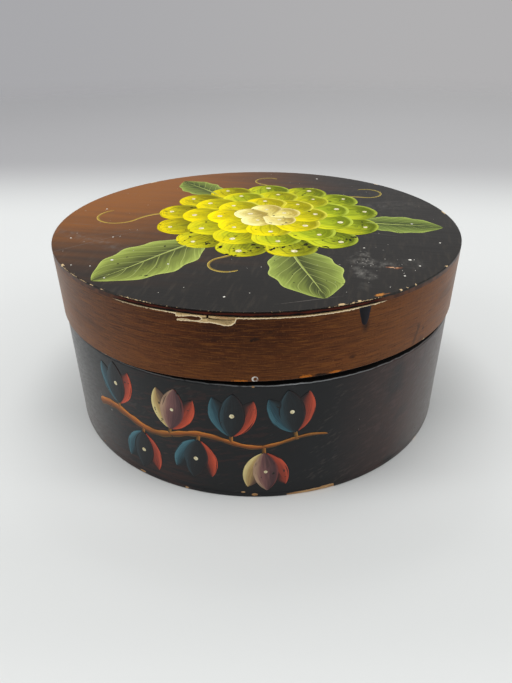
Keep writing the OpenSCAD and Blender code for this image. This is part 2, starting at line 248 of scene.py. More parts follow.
def joined(a, b, c):
    """A place made of its three values."""
    return put(tree_of(a, b, c), "CombineXYZ", {0: a, 1: b, 2: c}).outputs[0]


def rise(value, low, high):
    """A mask that rises smoothly from 0 at low to 1 at high."""
    sockets = {"Value": value, "From Min": low, "From Max": high}
    return put(tree_of(value), "MapRange", sockets, interpolation_type="SMOOTHSTEP").outputs["Result"]


def blend(mask, below, above):
    """Lays one colour over another by a mask."""
    sockets = {0: mask, 6: below, 7: above}
    return put(tree_of(mask), "Mix", sockets, data_type="RGBA").outputs[2]


def laid(below, above, mask, share):
    """Lays one colour thinly over another, by a share of a mask."""
    return blend(times(mask, share), below, above)


def stretched(where, scale, turn=(0, 0, 0)):
    """Coordinates turned and then scaled, so that a pattern runs one way."""
    sockets = {"Vector": where, "Rotation": [math.radians(t) for t in turn]}
    turned = put(tree_of(where), "Mapping", sockets)
    return put(tree_of(where), "Mapping", {"Vector": turned, "Scale": scale}).outputs[0]


def cloud(where, scale, detail=3):
    """Plain noise from 0 to 1."""
    sockets = {"Vector": where, "Scale": scale, "Detail": detail}
    return put(tree_of(where), "TexNoise", sockets).outputs[0]


def effect(name, outputs, **inputs):
    """Starts a node group and returns it with what comes into it and what leaves it. An input is
    a colour, a vector or a number after the value that it starts with."""
    tree = bpy.data.node_groups.new(name, "ShaderNodeTree")
    for label in outputs:
        kind = "Color" if label == "Color" else "Float"
        tree.interface.new_socket(label, in_out="OUTPUT", socket_type="NodeSocket" + kind)
    for label, value in inputs.items():
        kind = {str: "Color", tuple: "Vector", float: "Float"}[type(value)]
        label = label.replace("_", " ")
        socket = tree.interface.new_socket(label, in_out="INPUT", socket_type="NodeSocket" + kind)
        socket.default_value = hue(value) if kind == "Color" else value
    start = tree.nodes.new("NodeGroupInput")
    end = tree.nodes.new("NodeGroupOutput")
    return tree, start.outputs, end.inputs


def use(group, **sockets):
    """Places a node group in a material."""
    made = tree_of(*sockets.values()).nodes.new("ShaderNodeGroup")
    made.node_tree = group
    for socket, value in sockets.items():
        join(value, made.inputs[socket.replace("_", " ")])
    return made.outputs


def brushed(where, scale, turn=(0, 0, 0)):
    """The marks of a brush that was drawn one way."""
    return use(streaks, Along=stretched(where, scale, turn))


def wood_of(where, scale, pale, brown):
    """Raw wood with its fibres drawn one way."""
    return use(raw_wood, Fibres=stretched(where, scale), Pale=pale, Brown=brown)


def new_finish(name, **shine):
    """Starts a material and returns it, its tree, its shader and the object's coordinates."""
    finish = bpy.data.materials.new(name)
    finish.use_nodes = True
    tree = finish.node_tree
    tree.nodes.clear()
    shader = put(tree, "BsdfPrincipled")
    for socket, value in shine.items():
        join(value, shader.inputs[socket.replace("_", " ")])
    put(tree, "OutputMaterial", {"Surface": shader})
    where = put(tree, "TexCoord").outputs["Object"]
    return finish, tree, shader, where


def relief(shader, height, distance):
    """Bumps a surface by a height from 0 to 1 that stands for a distance in mm."""
    sockets = {"Height": height, "Distance": distance * mm, "Strength": 1.0}
    join(put(shader.id_data, "Bump", sockets), shader.inputs["Normal"])


def surface(shader, colour, rough, height, distance):
    """Gives a shader its colour, its roughness and its relief."""
    join(colour, shader.inputs["Base Color"])
    join(rough, shader.inputs["Roughness"])
    relief(shader, height, distance)


def attribute(tree, name, kind="Fac"):
    """What is kept at the points of a piece's mesh."""
    return put(tree, "Attribute", attribute_name=name).outputs[kind]


# Raw wood: long fibres, darker late wood and small pores, drawn along one way
raw_wood, given, made = effect(
    "raw_wood", ("Color", "Grain"), Fibres=(0, 0, 0), Pale="#cfa978", Brown="#8d6238"
)
bands = cloud(given["Fibres"], 0.3, 2)
fibres = cloud(given["Fibres"], 1, 5)
pores = cloud(given["Fibres"], 2.6, 2)
pore_mask = rise(pores, 0.62, 0.72)
grain = calc("ADD", times(bands, 0.55), times(fibres, 0.45))
wood_colour = blend(rise(grain, 0.38, 0.64), given["Pale"], given["Brown"])
wood_colour = laid(wood_colour, "#5d3d20", pore_mask, 0.5)
join(wood_colour, made["Color"])
join(calc("SUBTRACT", grain, times(pore_mask, 0.3)), made["Grain"])

# The wood of the box: its pale fibres, and the darker ones of the boards and of the hoops
pale_wood, board_wood, hoop_wood = "#cba577", "#a57a4e", "#a87d51"

# Bare wood: where the finish is lost, with an edge that breaks up along small notches
bare_wood, given, made = effect("bare_wood", ("Mask",), Bare=0.0, Vector=(0, 0, 0), Ragged=0.5)
notches = calc("SUBTRACT", cloud(given["Vector"], 1100), 0.5)
edge = times_plus(notches, given["Ragged"], given["Bare"])
join(rise(edge, -0.05, 0.05), made["Mask"])

# Streaks: the marks of a brush, as a fine height and as wider patches
streaks, given, made = effect("streaks", ("Fine", "Patches"), Along=(0, 0, 0))
join(cloud(given["Along"], 1, 4), made["Fine"])
join(cloud(given["Along"], 0.22), made["Patches"])

# Dust: small pale flecks, each in a cell of its own, kept in only some of the cells
dust, given, made = effect("dust", ("Mask",), Vector=(0, 0, 0), Cells=200.0, Share=0.1)
cells = put(dust, "TexVoronoi", {"Vector": given["Vector"], "Scale": given["Cells"]})
draws = put(dust, "SeparateColor", {0: cells.outputs["Color"]}).outputs
kept = calc("LESS_THAN", draws[0], given["Share"])
size = times(draws[1], 0.16)
fleck = calc("LESS_THAN", cells.outputs["Distance"], size)
join(times(kept, fleck), made["Mask"])

# Black lacquer: brushed on, blue-black, with a red-brown coat showing through on the right,
# rubbed and speckled with age; bare wood inside and in the chips. Painted light on it: a painted
# reflection of the floor on the low sides, a painted highlight along the rounded top edge and
# painted shade on the top face under the lid
black_lacquer, tree, shader, where = new_finish(
    "black_lacquer", Specular_IOR_Level=0.29, Sheen_Weight=0.07, Sheen_Roughness=0.3
)
x, y, z = xyz(where)
brush = brushed(where, (260, 260, 900), (0, 28, 0))
weave = brushed(where, (900, 900, 90))
blotches = cloud(where, 60, 4)
warm = times(rise(x, 0.026, 0.068), rise(blotches, 0.2, 0.52))
under_coat = blend(brush["Fine"], "#1b0f0f", "#472d26")
black = blend(brush["Patches"], "#08090b", "#101317")
coat = blend(warm, black, under_coat)
# Painted reflection: the low sides, left and right, are lightened to a warm grey as if they mirrored the
# floor
painted_floor_reflection = rise(calc("ABSOLUTE", x), 0.056, 0.09)
painted_floor_reflection = times(painted_floor_reflection, rise(z, 0.075, -0.015))
coat = laid(coat, "#6c6864", painted_floor_reflection, 0.8)
mottle = rise(cloud(stretched(where, (170, 170, 620), (0, 12, 0)), 1, 5), 0.5, 0.66)
coat = laid(coat, "#523c3a", times(mottle, warm), 0.4)
haze_middle = (-0.036, -0.092, 0.034)
haze_away = reach_of(vector("MULTIPLY", vector("SUBTRACT", where, haze_middle), (1, 1, 1.7)))
haze = times(rise(haze_away, 0.062, 0.02), rise(mottle, 0, 0.8))
coat = laid(coat, "#331a17", haze, 0.7)
rubbed = rise(times(brush["Fine"], blotches), 0.33, 0.46)
coat = laid(coat, "#6f625b", rubbed, 0.14)
rust = times(rise(x, -0.016, -0.04), rise(z, 0.02, 0.007))
rust = times(rust, rise(cloud(stretched(where, (60, 60, 700)), 1, 4), 0.42, 0.6))
coat = laid(coat, "#3c1f18", rust, 0.55)
specks = use(dust, Vector=where, Cells=210, Share=0.05)
coat = laid(coat, "#a39c94", specks["Mask"], 0.5)
# Painted highlight: a pale line on the rounded outer corner of the body's top edge, strongest from the
# front middle to the right, stands in for the lacquer's glint. Painted shade: the top face above it is
# near-black, as in the gap under the lid
crest_highlight_z, crest_highlight_whole_z = 0.06, 0.06018
crest_top_shade_z, crest_top_shade_whole_z = 0.06035, 0.06047
crest_highlight = times_plus(cloud(where, 230, 4), 0.0006, z)
crest_top_shade = rise(crest_highlight, crest_top_shade_z, crest_top_shade_whole_z)
crest_lit = times(rise(x, -0.03, 0.004), rise(x, 0.06, 0.025))
crest_lit = times_plus(crest_lit, 0.35, 0.22)
at_ring = rise(apart(x, 0.0135), 0.007, 0.002)
crest_lit = times_plus(at_ring, 0.5, crest_lit)
crest_lit = times(crest_lit, rise(cloud(where, 300), 0.22, 0.5))
crest_highlight = times(rise(crest_highlight, crest_highlight_z, crest_highlight_whole_z), crest_lit)
coat = blend(crest_highlight, coat, "#a9adae")
coat = blend(crest_top_shade, coat, "#050505")
wood = wood_of(where, (40, 1700, 1700), pale_wood, board_wood)
bare = use(bare_wood, Bare=attribute(tree, "bare"), Vector=where)["Mask"]
gloss_range = {"Value": brush["Fine"], "From Min": 0.2, "From Max": 0.8, "To Min": 0.26, "To Max": 0.42}
gloss = put(tree, "MapRange", gloss_range)
dull = times(calc("MAXIMUM", bare, crest_top_shade), 0.8)
height = calc("ADD", times(brush["Fine"], 0.6), times(weave["Fine"], 0.4))
surface(shader, blend(bare, coat, wood["Color"]), calc("MAXIMUM", gloss, dull), height, 0.05)

section = [(0, 0), (40, 0), (80, 0), (95, 0)]
section += arc((body_r - foot_round, foot_round), foot_round, -90, 0, 5)
section += rows((body_r, 0.75), (body_r, board_t), 9)
section += [(body_r, board_t), (board_bare_r, board_t), (60, board_t), (0, board_t)]
bm = spun(section, closed=False)
bare_layer = bm.verts.layers.float.new("bare")
board_chips = ((-32.9, 1.2, 1.6, 0.5), (-19.1, 0.9, 0.9, 0.5), (-1.1, 1.6, 1.3, 0.8), (52, 0.5, 2, 0.4))
for vert in bm.verts:
    turn, r, z = side_place(vert.co)
    if z > board_t - 0.01 and r < foot_side_r:
        vert[bare_layer] = raw_inside
        continue
    across = math.radians(turn - splinter_turn) * body_r
    lost = inside_by(splinter_outline, across, z) if r > foot_side_r and abs(across) < 20 else nowhere
    for chip in board_chips:
        lost = max(lost, in_oval(chip, turn, z, body_r) if r > foot_side_r else nowhere)
    vert[bare_layer] = lost
    if lost > -0.2:
        ragged = 0.25 * grit(turn * 3, z * 0.8, 0)
        press_in(vert, min(splinter_deep, 0.9 * soft_step(lost + ragged, -0.1, 0.7)))
base_board = finished("base_board_wood", bm, black_lacquer)
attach(base_board, "body")
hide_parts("base_board")

# Body hoop
# Thin wood steamed and bent to a ring, its ends scarfed and glued at the back, standing on
# the base board. Its top edge is rubbed round and it wears the same black lacquer.
body_h = 60.3
body_wall = 2.4
edge_round = 1.0
seam_lean = 24
seam_w = 0.3
seam_deep = 0.45
seam_reach = 0.02
body_seam_turn = 172
body_side_r = 97
foot_zone, rim_zone = 5.4, 57.4


def scarf_line(bm, turn, z0, z1, radius, outside):
    """Cuts the fine leaning line of a glued scarf into one face of a hoop."""
    out = Matrix.Rotation(math.radians(turn), 4, "Z") @ Vector((0, -1, 0))
    along = Vector((0, 0, 1)).cross(out)
    if along.dot(Matrix.Rotation(math.radians(turn + 5), 4, "Z") @ Vector((0, -1, 0))) < 0:
        along = -along
    lean = math.radians(seam_lean)
    across = math.cos(lean) * along - math.sin(lean) * Vector((0, 0, 1))
    middle = out * radius * mm + Vector((0, 0, (z0 + z1) / 2 * mm))
    reach = (z1 - z0) * mm
    for step in (-0.5, 0, 0.5):
        near = [f for f in bm.faces if (f.calc_center_median() - middle).length < reach]
        near_edges = {e for f in near for e in f.edges}
        near_verts = {v for f in near for v in f.verts}
        point = middle + across * step * seam_w * mm
        bmesh.ops.bisect_plane(
            bm,
            geom=[*near, *near_edges, *near_verts],
            dist=0.001 * mm,
            plane_co=point,
            plane_no=across,
        )
    for vert in bm.verts:
        offset = vert.co - middle
        reach_here = math.hypot(vert.co.x, vert.co.y) / mm
        if abs(offset.dot(across)) > seam_reach * mm or offset.length > reach:
            continue
        if abs(reach_here - radius) < 0.2:
            press_in(vert, seam_deep if outside else -seam_deep)


section = rows((body_r, board_t), (body_r, foot_zone), 8)
section += rows((body_r, foot_zone), (body_r, rim_zone), 18)
section += rows((body_r, rim_zone), (body_r, body_h - edge_round), 5)
section += arc((body_r - edge_round, body_h - edge_round), edge_round, 0, 90, 7)
section += [(body_r - body_wall, body_h), (body_r - body_wall, board_t)]
bm = spun(section)
bare_layer = bm.verts.layers.float.new("bare")
body_chips = (
    (-1.2, 59.75, 0.6, 0.35), (-57, 59.9, 1.4, 0.4), (81, 60.0, 1.8, 0.5), (-4.0, 2.9, 0.9, 0.4),
    (-49.9, 2.6, 0.8, 0.5), (141, 60.0, 2.6, 0.5), (-118, 3.0, 2.2, 0.7), (205, 2.9, 1.6, 0.6),
)
for vert in bm.verts:
    turn, r, z = side_place(vert.co)
    lost = max(
        in_oval(chip, turn + (360 if turn < -150 and chip[0] > 180 else 0), z, body_r)
        for chip in body_chips
    )
    vert[bare_layer] = lost if r > body_side_r or z > body_h - 0.3 else raw_inside
    if lost > 0 and r > body_side_r:
        press_in(vert, 0.25 * soft_step(lost, 0, 0.5))
    elif r > body_side_r:
        press_in(vert, 0.06 * (1 + grit(vert.co.x * 30, vert.co.y * 30, vert.co.z * 22)))
scarf_line(bm, body_seam_turn, board_t, body_h, body_r, True)
body_hoop = finished("body_hoop_wood", bm, black_lacquer)
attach(body_hoop, "body")
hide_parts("body_hoop")

# Inner hoop
# A thinner raw ring glued inside the outer one. It stands up past it as the collar that the
# lid slips over; its foot is painted near-black as painted shade in the gap under the lid.
liner_r = 96.8
liner_wall = 1.8
collar_top = 69.3
collar_bevel = 0.7
liner_seam_turn = 128
scarf_l = 38

liner_wood, tree, shader, where = new_finish("bare_wood_hoop", Specular_IOR_Level=0.25)
x, y, z = xyz(where)
wood = wood_of(where, (45, 45, 2200), pale_wood, hoop_wood)
reach = reach_of(vector("MULTIPLY", where, (1, 1, 0)))
# Painted shade: the collar's foot, seen through the gap under the lid, is painted near-black
foot = times_plus(cloud(where, 90), -0.004, z)
painted = times(rise(foot, 0.0632, 0.0624), rise(reach, 0.0962, 0.0964))
rub = rise(cloud(stretched(where, (60, 60, 500)), 1, 4), 0.5, 0.7)
handled = times(rub, rise(z, 0.06, 0.069))
wood_colour = laid(wood["Color"], "#6b4a2c", handled, 0.45)
stain = rise(cloud(where, 24, 5), 0.52, 0.75)
wood_colour = laid(wood_colour, "#7c5a39", stain, 0.3)
wood_colour = blend(painted, wood_colour, "#050505")
surface(shader, wood_colour, times_plus(painted, -0.1, 0.75), wood["Grain"], 0.08)

section = rows((liner_r, board_t), (liner_r, collar_top - collar_bevel), 16)
section += [(liner_r, collar_top - collar_bevel), (liner_r - collar_bevel, collar_top)]
section += [(liner_r - liner_wall + 0.15, collar_top), (liner_r - liner_wall, collar_top - 0.15)]
section += rows((liner_r - liner_wall, collar_top - 1), (liner_r - liner_wall, board_t), 16)
section += [(liner_r - liner_wall, board_t)]
bm = spun(section, stretches=((-60, 120, 240), (60, 240, 150)))
inner_turn_back = math.degrees(scarf_l / (liner_r - liner_wall))
scarf_line(bm, liner_seam_turn, board_t, collar_top, liner_r, True)
scarf_line(bm, liner_seam_turn - inner_turn_back, board_t, collar_top, liner_r - liner_wall, False)
liner_hoop = finished("inner_hoop_wood", bm, liner_wood)
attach(liner_hoop, "body")
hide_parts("liner_hoop")

# Lid hoop
# A wider bent ring, trimmed a little out of true, stained and varnished brown over brushed
# grain, with painted light and shade across its front. Its front top edge has sprung from the
# lid board and lost a long flake, with painted shade in its cracks and a painted highlight on its
# torn rim.
lid_r = 100.0
lid_inner_r = 97.6
lid_face_r = lid_r - 0.02
lid_inner_face_r = lid_inner_r + 0.1
lid_low = 60.6
lid_taper = 1.9
hoop_top = 90.7
lid_bevel = 0.4
hollow_turn, hollow_h, hollow_l = 18, 1.4, 154
hollow_r = (hollow_l**2 / 4 + hollow_h**2) / (2 * hollow_h)
lid_seam_turn = 196
crack_from, crack_to = -34, 29
crack_deep = 1.1
crack_h = 0.12
torn_h = 6
inner_side = 4
flake_turn = -11
flake_reach = 14
flake_outline = [
    (-11.5, 3), (-11.4, -1), (-11.3, -2), (-11, -3.2), (-9.4, -3.3), (-7.4, -3.05), (-5.8, -2.95),
    (-3.9, -2.9), (-2, -3), (-0.5, -3.1), (1, -2.95), (2.5, -2.9), (4, -3.2), (5.5, -3.45), (6.9, -3.9),
    (8.4, -3.95), (9.8, -3.5), (11, -2.4), (11.5, -1), (11.6, 3),
]
flake_island = [
    (-13, -1.9), (-11.2, -1.6), (-9.6, -1.5), (-8, -1.25), (-6.4, -0.85), (-5.6, -0.55), (-4.5, -0.38),
    (-3.3, -0.38), (-2.2, -0.6), (-1.5, -1.2), (-1.4, -1.75), (-2.3, -2.25), (-3.9, -2.45),
    (-5.8, -2.45), (-7.3, -2.15), (-9.3, -2.3), (-10.9, -2.65), (-13, -3.2),
]
flake_step = [
    (0.7, -0.6), (1.8, -1), (2.8, -1.2), (4.8, -1.32), (7.4, -1.36), (9.2, -1.42), (10.7, -1.2),
    (10.6, -1.36), (9.2, -1.56), (7.4, -1.54), (4.8, -1.58), (2.6, -1.54), (1.5, -1.36), (0.6, -0.95),
]
flake_notch = [
    (0.5, 3), (0.55, -0.6), (0.1, -0.85), (-0.9, -0.95), (-1, -1.3), (0.3, -1.25), (1, -0.9),
    (1.15, -0.3), (1.1, 3),
]
flake_hollow = [
    (0.8, -1.3), (4, -1.7), (9.6, -1.7), (10.3, -2.4), (8.6, -3.3), (6.8, -3.2), (4, -2.6), (1, -2.3),
]


def sprung_at(turn):
    """How far the joint of hoop and lid board has sprung open at a turn, from 0 to 1."""
    return soft_step(turn, crack_from - 1, crack_from + 4) * soft_step(-turn, -crack_to - 1, -crack_to + 3)


def flake_inside(outline, across, down, torn=0):
    """How far a place lies inside an outline of the flake, far below nothing away from it."""
    if abs(across) > flake_reach:
        return nowhere
    return inside_by(outline, across, down) + torn


brown_lacquer, tree, shader, where = new_finish(
    "brown_lacquer",
    Specular_IOR_Level=0.1,
    Sheen_Weight=0.2,
    Sheen_Roughness=0.35,
    Sheen_Tint="#ffe6d2",
)
x, y, z = xyz(where)
brush = brushed(where, (40, 40, 1000))
long_brush = brushed(where, (30, 30, 500))
weave = brushed(where, (1000, 1000, 60))
blotches = cloud(where, 38, 4)
hair_lines = brushed(where, (150, 150, 2600))
grain_dots = cloud(stretched(where, (1500, 1500, 1500)), 1)
coat = blend(rise(brush["Fine"], 0.3, 0.7), "#3b1a07", "#623211")
coat = laid(coat, "#46210a", rise(long_brush["Fine"], 0.46, 0.62), 0.6)
# Painted light and shade across the hoop's front: painted shade in the middle, painted light to the right
# and low down, and a greyer painted sheen to the left
painted_light_right = rise(x, 0.006, 0.06)
painted_sheen_left = rise(x, -0.02, -0.085)
painted_light_low = times(rise(z, 0.087, 0.063), rise(x, 0.055, 0.02))
painted_shade_middle = rise(calc("ABSOLUTE", calc("ADD", x, 0.004)), 0.042, 0.006)
coat = laid(coat, "#2a1105", painted_shade_middle, 0.52)
coat = laid(coat, "#7f4f2a", painted_light_right, 0.5)
coat = laid(coat, "#6a4d3b", painted_sheen_left, 0.6)
coat = laid(coat, "#7e4a22", painted_light_low, 0.32)
coat = laid(coat, "#86521f", rise(hair_lines["Fine"], 0.48, 0.7), 0.5)
coat = laid(coat, "#220e04", rise(hair_lines["Fine"], 0.45, 0.28), 0.6)
coat = laid(coat, "#1c0b04", rise(grain_dots, 0.56, 0.74), 0.35)
coat = laid(coat, "#8d5a2c", rise(grain_dots, 0.42, 0.26), 0.3)
dark = times(rise(long_brush["Patches"], 0.5, 0.68), rise(blotches, 0.42, 0.6))
coat = laid(coat, "#2b1409", dark, 0.55)
threads = rise(weave["Fine"], 0.52, 0.72)
coat = laid(coat, "#6e4020", threads, 0.12)

# Mark: a stain or rub of a given middle and half sizes, with a broken edge
mark, given, made = effect(
    "mark",
    ("Mask",),
    Vector=(0, 0, 0),
    Middle=(0, 0, 0),
    Turn=(0, 0, 0),
    Half_Sizes=(1, 1, 1),
    Ragged=0.6,
    Softness=0.1,
)
centred = vector("SUBTRACT", given["Vector"], given["Middle"])
turned = put(mark, "VectorRotate", {0: centred, "Rotation": given["Turn"]}, rotation_type="EULER_XYZ")
away = reach_of(vector("DIVIDE", turned, given["Half Sizes"]))
notches = calc("SUBTRACT", cloud(given["Vector"], 1300), 0.5)
away = times_plus(notches, given["Ragged"], away)
low = calc("SUBTRACT", 1.0, given["Softness"])
high = calc("ADD", 1.0, given["Softness"])
fade = {"Value": away, "From Min": low, "From Max": high, "To Min": 1.0, "To Max": 0.0}
join(put(mark, "MapRange", fade), made["Mask"])


def marked(middle, turns, halves, ragged, softness):
    """The mask of a mark on the finish in hand."""
    shape = {"Middle": middle, "Turn": turns, "Half_Sizes": halves}
    return use(mark, Vector=where, Ragged=ragged, Softness=softness, **shape)["Mask"]


def at_side(turn, z, radius):
    """The place on a side at a turn from the front and a height, in metres."""
    t = math.radians(turn)
    return Vector((radius * math.sin(t), -radius * math.cos(t), z)) * mm


def side_mark(turn, z, half_w, half_h, lean, ragged, softness):
    """A mark on the side, given by its turn, height and half sizes in mm."""
    turns = (0, math.radians(lean), 0)
    halves = (half_w * mm, max(half_w, half_h) * mm, half_h * mm)
    return marked(at_side(turn, z, lid_r), turns, halves, ragged, softness)


side_stains_and_shade = (
    (21.5, 69.4, 1.5, 0.9, 10, 1.4, 0.5, "#22140f", 0.6),
    (41.2, 67.5, 0.7, 5.2, -14, 1.2, 0.5, "#2a1a13", 0.55),
    (41.9, 72.2, 0.9, 1.5, 20, 1.2, 0.5, "#2a1a13", 0.5),
    (-0.6, 81.6, 1.6, 0.7, 12, 1.5, 0.4, "#1d0f08", 0.75),
    (-1.4, 80.9, 0.6, 0.6, 0, 1.2, 0.4, "#1d0f08", 0.7),
    # This near-black mark at the hoop's low edge is painted shade in a small notch
    (14.2, 63.7, 2.6, 0.7, -3, 1.2, 0.3, "#0e0a08", 0.85),
    (44.2, 69.8, 0.9, 0.7, 30, 1.4, 0.4, "#2a1a13", 0.7),
    (43.8, 65.4, 1.6, 1.2, 0, 1.6, 0.6, "#33211a", 0.45),
    (24.2, 82.4, 1.2, 2.4, 0, 0.8, 0.7, "#1b1612", 0.75),
    (-6.6, 86.5, 1.8, 0.6, 14, 1.8, 0.5, "#220d05", 0.6),
    (2.6, 84.6, 2.2, 0.5, 10, 1.8, 0.5, "#220d05", 0.6),
)
for turn, z, half_w, half_h, lean, ragged, softness, code, strength in side_stains_and_shade:
    stain = side_mark(turn, z, half_w, half_h, lean, ragged, softness)
    coat = laid(coat, code, stain, strength)
for turn, z, half_w, half_h in ((-4.0, 62.9, 3.0, 0.5), (10.6, 63.9, 2.6, 0.6), (17.6, 63.9, 2.1, 0.6)):
    coat = laid(coat, "#c4701f", side_mark(turn, z, half_w, half_h, 0, 2.2, 0.3), 0.8)
ring_middle = at_side(-0.71, 63.9, lid_r)
ring_r = 0.0013
ring_away = put(tree, "VectorMath", {0: where, 1: ring_middle}, operation="DISTANCE").outputs["Value"]
ring_away = times_plus(cloud(where, 1500, 2), 0.0006, ring_away)
ring_band = apart(ring_away, ring_r)
ring_band = times(rise(ring_band, 0.00036, 0.0002), rise(cloud(where, 700, 2), 0.36, 0.5))
coat = blend(ring_band, coat, "#dcd8d0")
specks = use(dust, Vector=where, Cells=170, Share=0.03)
coat = laid(coat, "#b4a48f", specks["Mask"], 0.5)
wood = wood_of(where, (60, 60, 1100), "#dcc08c", "#a08058")
inside_wood = wood_of(where, (45, 45, 2200), pale_wood, hoop_wood)
bare_value = attribute(tree, "bare")
bare = use(bare_wood, Bare=bare_value, Vector=where, Ragged=0.45)["Mask"]
hidden_side = rise(bare_value, 2.9, 3.0)
# Painted shade: the flake's step, hollow and notch and the left end of the open joint are darkened to deep
# brown
crevice_shade = attribute(tree, "crevice_shade")
# The torn rim of the flake is pale fresh wood, lightened almost to white as a painted highlight
torn_rim_highlight = rise(times_plus(cloud(where, 1400, 2), 0.3, bare_value), 0.52, 0.38)
fresh = laid(wood["Color"], "#ffeec6", torn_rim_highlight, 0.85)
fibre_dots = rise(cloud(where, 1700), 0.55, 0.7)
fibre_dots = times(fibre_dots, times_plus(torn_rim_highlight, -0.4, 0.5))
fresh = blend(fibre_dots, fresh, "#6b4c30")
fresh = blend(crevice_shade, fresh, "#241006")
fresh = blend(hidden_side, fresh, inside_wood["Color"])
rim = rise(apart(bare_value, 0.05), 0.3, 0.1)
coat = laid(coat, "#7b4b2a", rim, 0.35)
gloss = times_plus(brush["Fine"], 0.22, 0.3)
rough = calc("MAXIMUM", gloss, times(bare, 0.8))
height = calc("ADD", times(brush["Fine"], 0.6), times(weave["Fine"], 0.5))
surface(shader, blend(bare, coat, fresh), rough, blend(bare, height, wood["Grain"]), 0.07)

section = [(lid_inner_r + lid_bevel, lid_low), (lid_r - lid_bevel, lid_low), (lid_r, lid_low + lid_bevel)]
row_zs = (lid_low + lid_bevel + 0.3, 64.0, 85.5, 86.6, hoop_top)
for low, high, count in zip(row_zs, row_zs[1:], (9, 9, 4, 30)):
    section += rows((lid_r, low), (lid_r, high), count)
section += [(lid_r, hoop_top), (lid_r - 0.3, hoop_top), (lid_r - 0.7, hoop_top)]
section += [(lid_r - crack_deep + 0.05, hoop_top), (lid_r - crack_deep - 0.05, hoop_top)]
section += [(lid_inner_r, hoop_top), (lid_inner_r, 75), (lid_inner_r, lid_low + lid_bevel)]
bm = spun(section, stretches=((-60, 40, 180), (-20, 18, 180), (-2, 62, 285), (60, 240, 150)))
bare_layer = bm.verts.layers.float.new("bare")
crevice_shade_layer = bm.verts.layers.float.new("crevice_shade")
hoop_chips = (
    (45.5, 61.0, 0.8, 0.2), (66, 61.0, 1.2, 0.3), (-40, 60.9, 0.8, 0.25), (150, 61.2, 2.4, 0.5),
)
for vert in bm.verts:
    turn, r, z = side_place(vert.co)
    vert[bare_layer] = inner_side if r < lid_inner_face_r else nowhere
    across = math.radians(turn - flake_turn) * lid_r
    down = z - hoop_top
    sprung = sprung_at(turn)
    if r > lid_r - crack_deep and down > -torn_h:
        torn = 0.12 * grit(turn * 1.9, 3, 0) + 0.08 * grit(turn * 6, 7, 0)
        flake = flake_inside(flake_outline, across, down, 0.5 * torn)
        island = flake_inside(flake_island, across, down, 0.3 * torn)
        step = flake_inside(flake_step, across, down)
        notch = flake_inside(flake_notch, across, down)
        hollow = flake_inside(flake_hollow, across, down)
        lost = min(flake, -island)
        bright_edge = 0.22 + 0.33 * soft_step(turn, -20, -14) - 0.29 * soft_step(turn, 18, 24)
        edge_torn = min(sprung * (bright_edge + 3 * torn) + down, 0.6)
        lost = max(lost, edge_torn if sprung > 0.05 else nowhere)
        if island > 0 and down > -0.4:
            lost = max(lost, 0.2)
        vert[bare_layer] = max(vert[bare_layer], lost) if r > lid_face_r else max(lost, 0.5 * sprung)
        # How much painted shade falls in the step, hollow and notch, and at the left end of the open joint
        dark = 0.9 * soft_step(step, -0.2, 0) * (1.25 - 0.06 * across)
        dark = max(dark, 0.35 * soft_step(hollow, -0.3, 0.3), soft_step(notch, -0.2, 0))
        dark = max(dark, 0.45 * soft_step(-turn, 19, 26))
        vert[crevice_shade_layer] = min(1, dark)
        if r > lid_face_r:
            depth = 0.25 * soft_step(flake, 0, 0.3) + 0.2 * soft_step(hollow, -0.2, 0.4)
            depth += 0.25 * soft_step(step, -0.12, 0.05)
            depth = depth * (1 - soft_step(island, -0.1, 0.2)) + 0.6 * soft_step(notch, -0.1, 0.1)
            depth = depth * (1 + 0.3 * grit(turn * 5, z * 3, 2)) if flake > -0.1 else 0
            press_in(vert, max(depth, 0.38 * soft_step(edge_torn, -0.05, 0.4)))
        if down > -1.2:
            sink = crack_h * sprung * (1 + 0.6 * grit(turn * 1.3, 0, 1)) * soft_step(down, -1.2, -0.2)
            vert.co.z -= (sink + 0.5 * soft_step(notch, -0.1, 0.1)) * mm
    elif r > lid_inner_face_r:
        lost = max(in_oval(chip, turn, z, lid_r) for chip in hoop_chips)
        vert[bare_layer] = lost
        if lost > 0:
            press_in(vert, 0.2 * soft_step(lost, 0, 0.4))
        elif r > lid_face_r:
            press_in(vert, 0.05 * (1 + grit(vert.co.x * 30, vert.co.y * 30, vert.co.z * 22)))
    low_here = lid_taper * (1 + vert.co.x / mm / lid_r) / 2
    if abs(turn - hollow_turn) < 80:
        off_middle = r * math.sin(math.radians(turn - hollow_turn))
        low_here += max(0, math.sqrt(hollow_r**2 - off_middle**2) - hollow_r + hollow_h)
    vert.co.z += low_here * mm * (hoop_top - min(z, hoop_top)) / (hoop_top - lid_low)
inner_turn_back = math.degrees(scarf_l / lid_inner_r)
scarf_line(bm, lid_seam_turn, lid_low, hoop_top, lid_r, True)
scarf_line(bm, lid_seam_turn - inner_turn_back, lid_low, hoop_top, lid_inner_r, False)
lid_hoop = finished("lid_hoop_wood", bm, brown_lacquer)
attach(lid_hoop, "lid")
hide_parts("lid_hoop")

# Lid board
# A disc glued flush on the lid hoop. It is lacquered black on top, blending to sienna at the
# back left, scuffed and flecked with white paint; its underside is raw, and its front edge is
# bare of filler where the joint has opened, with painted shade in the opened joint.
lid_top = 93.1
lid_round = 0.5
bare_edge_deep = 0.5
rim_side_r = 99
edge_side_r = 98.5

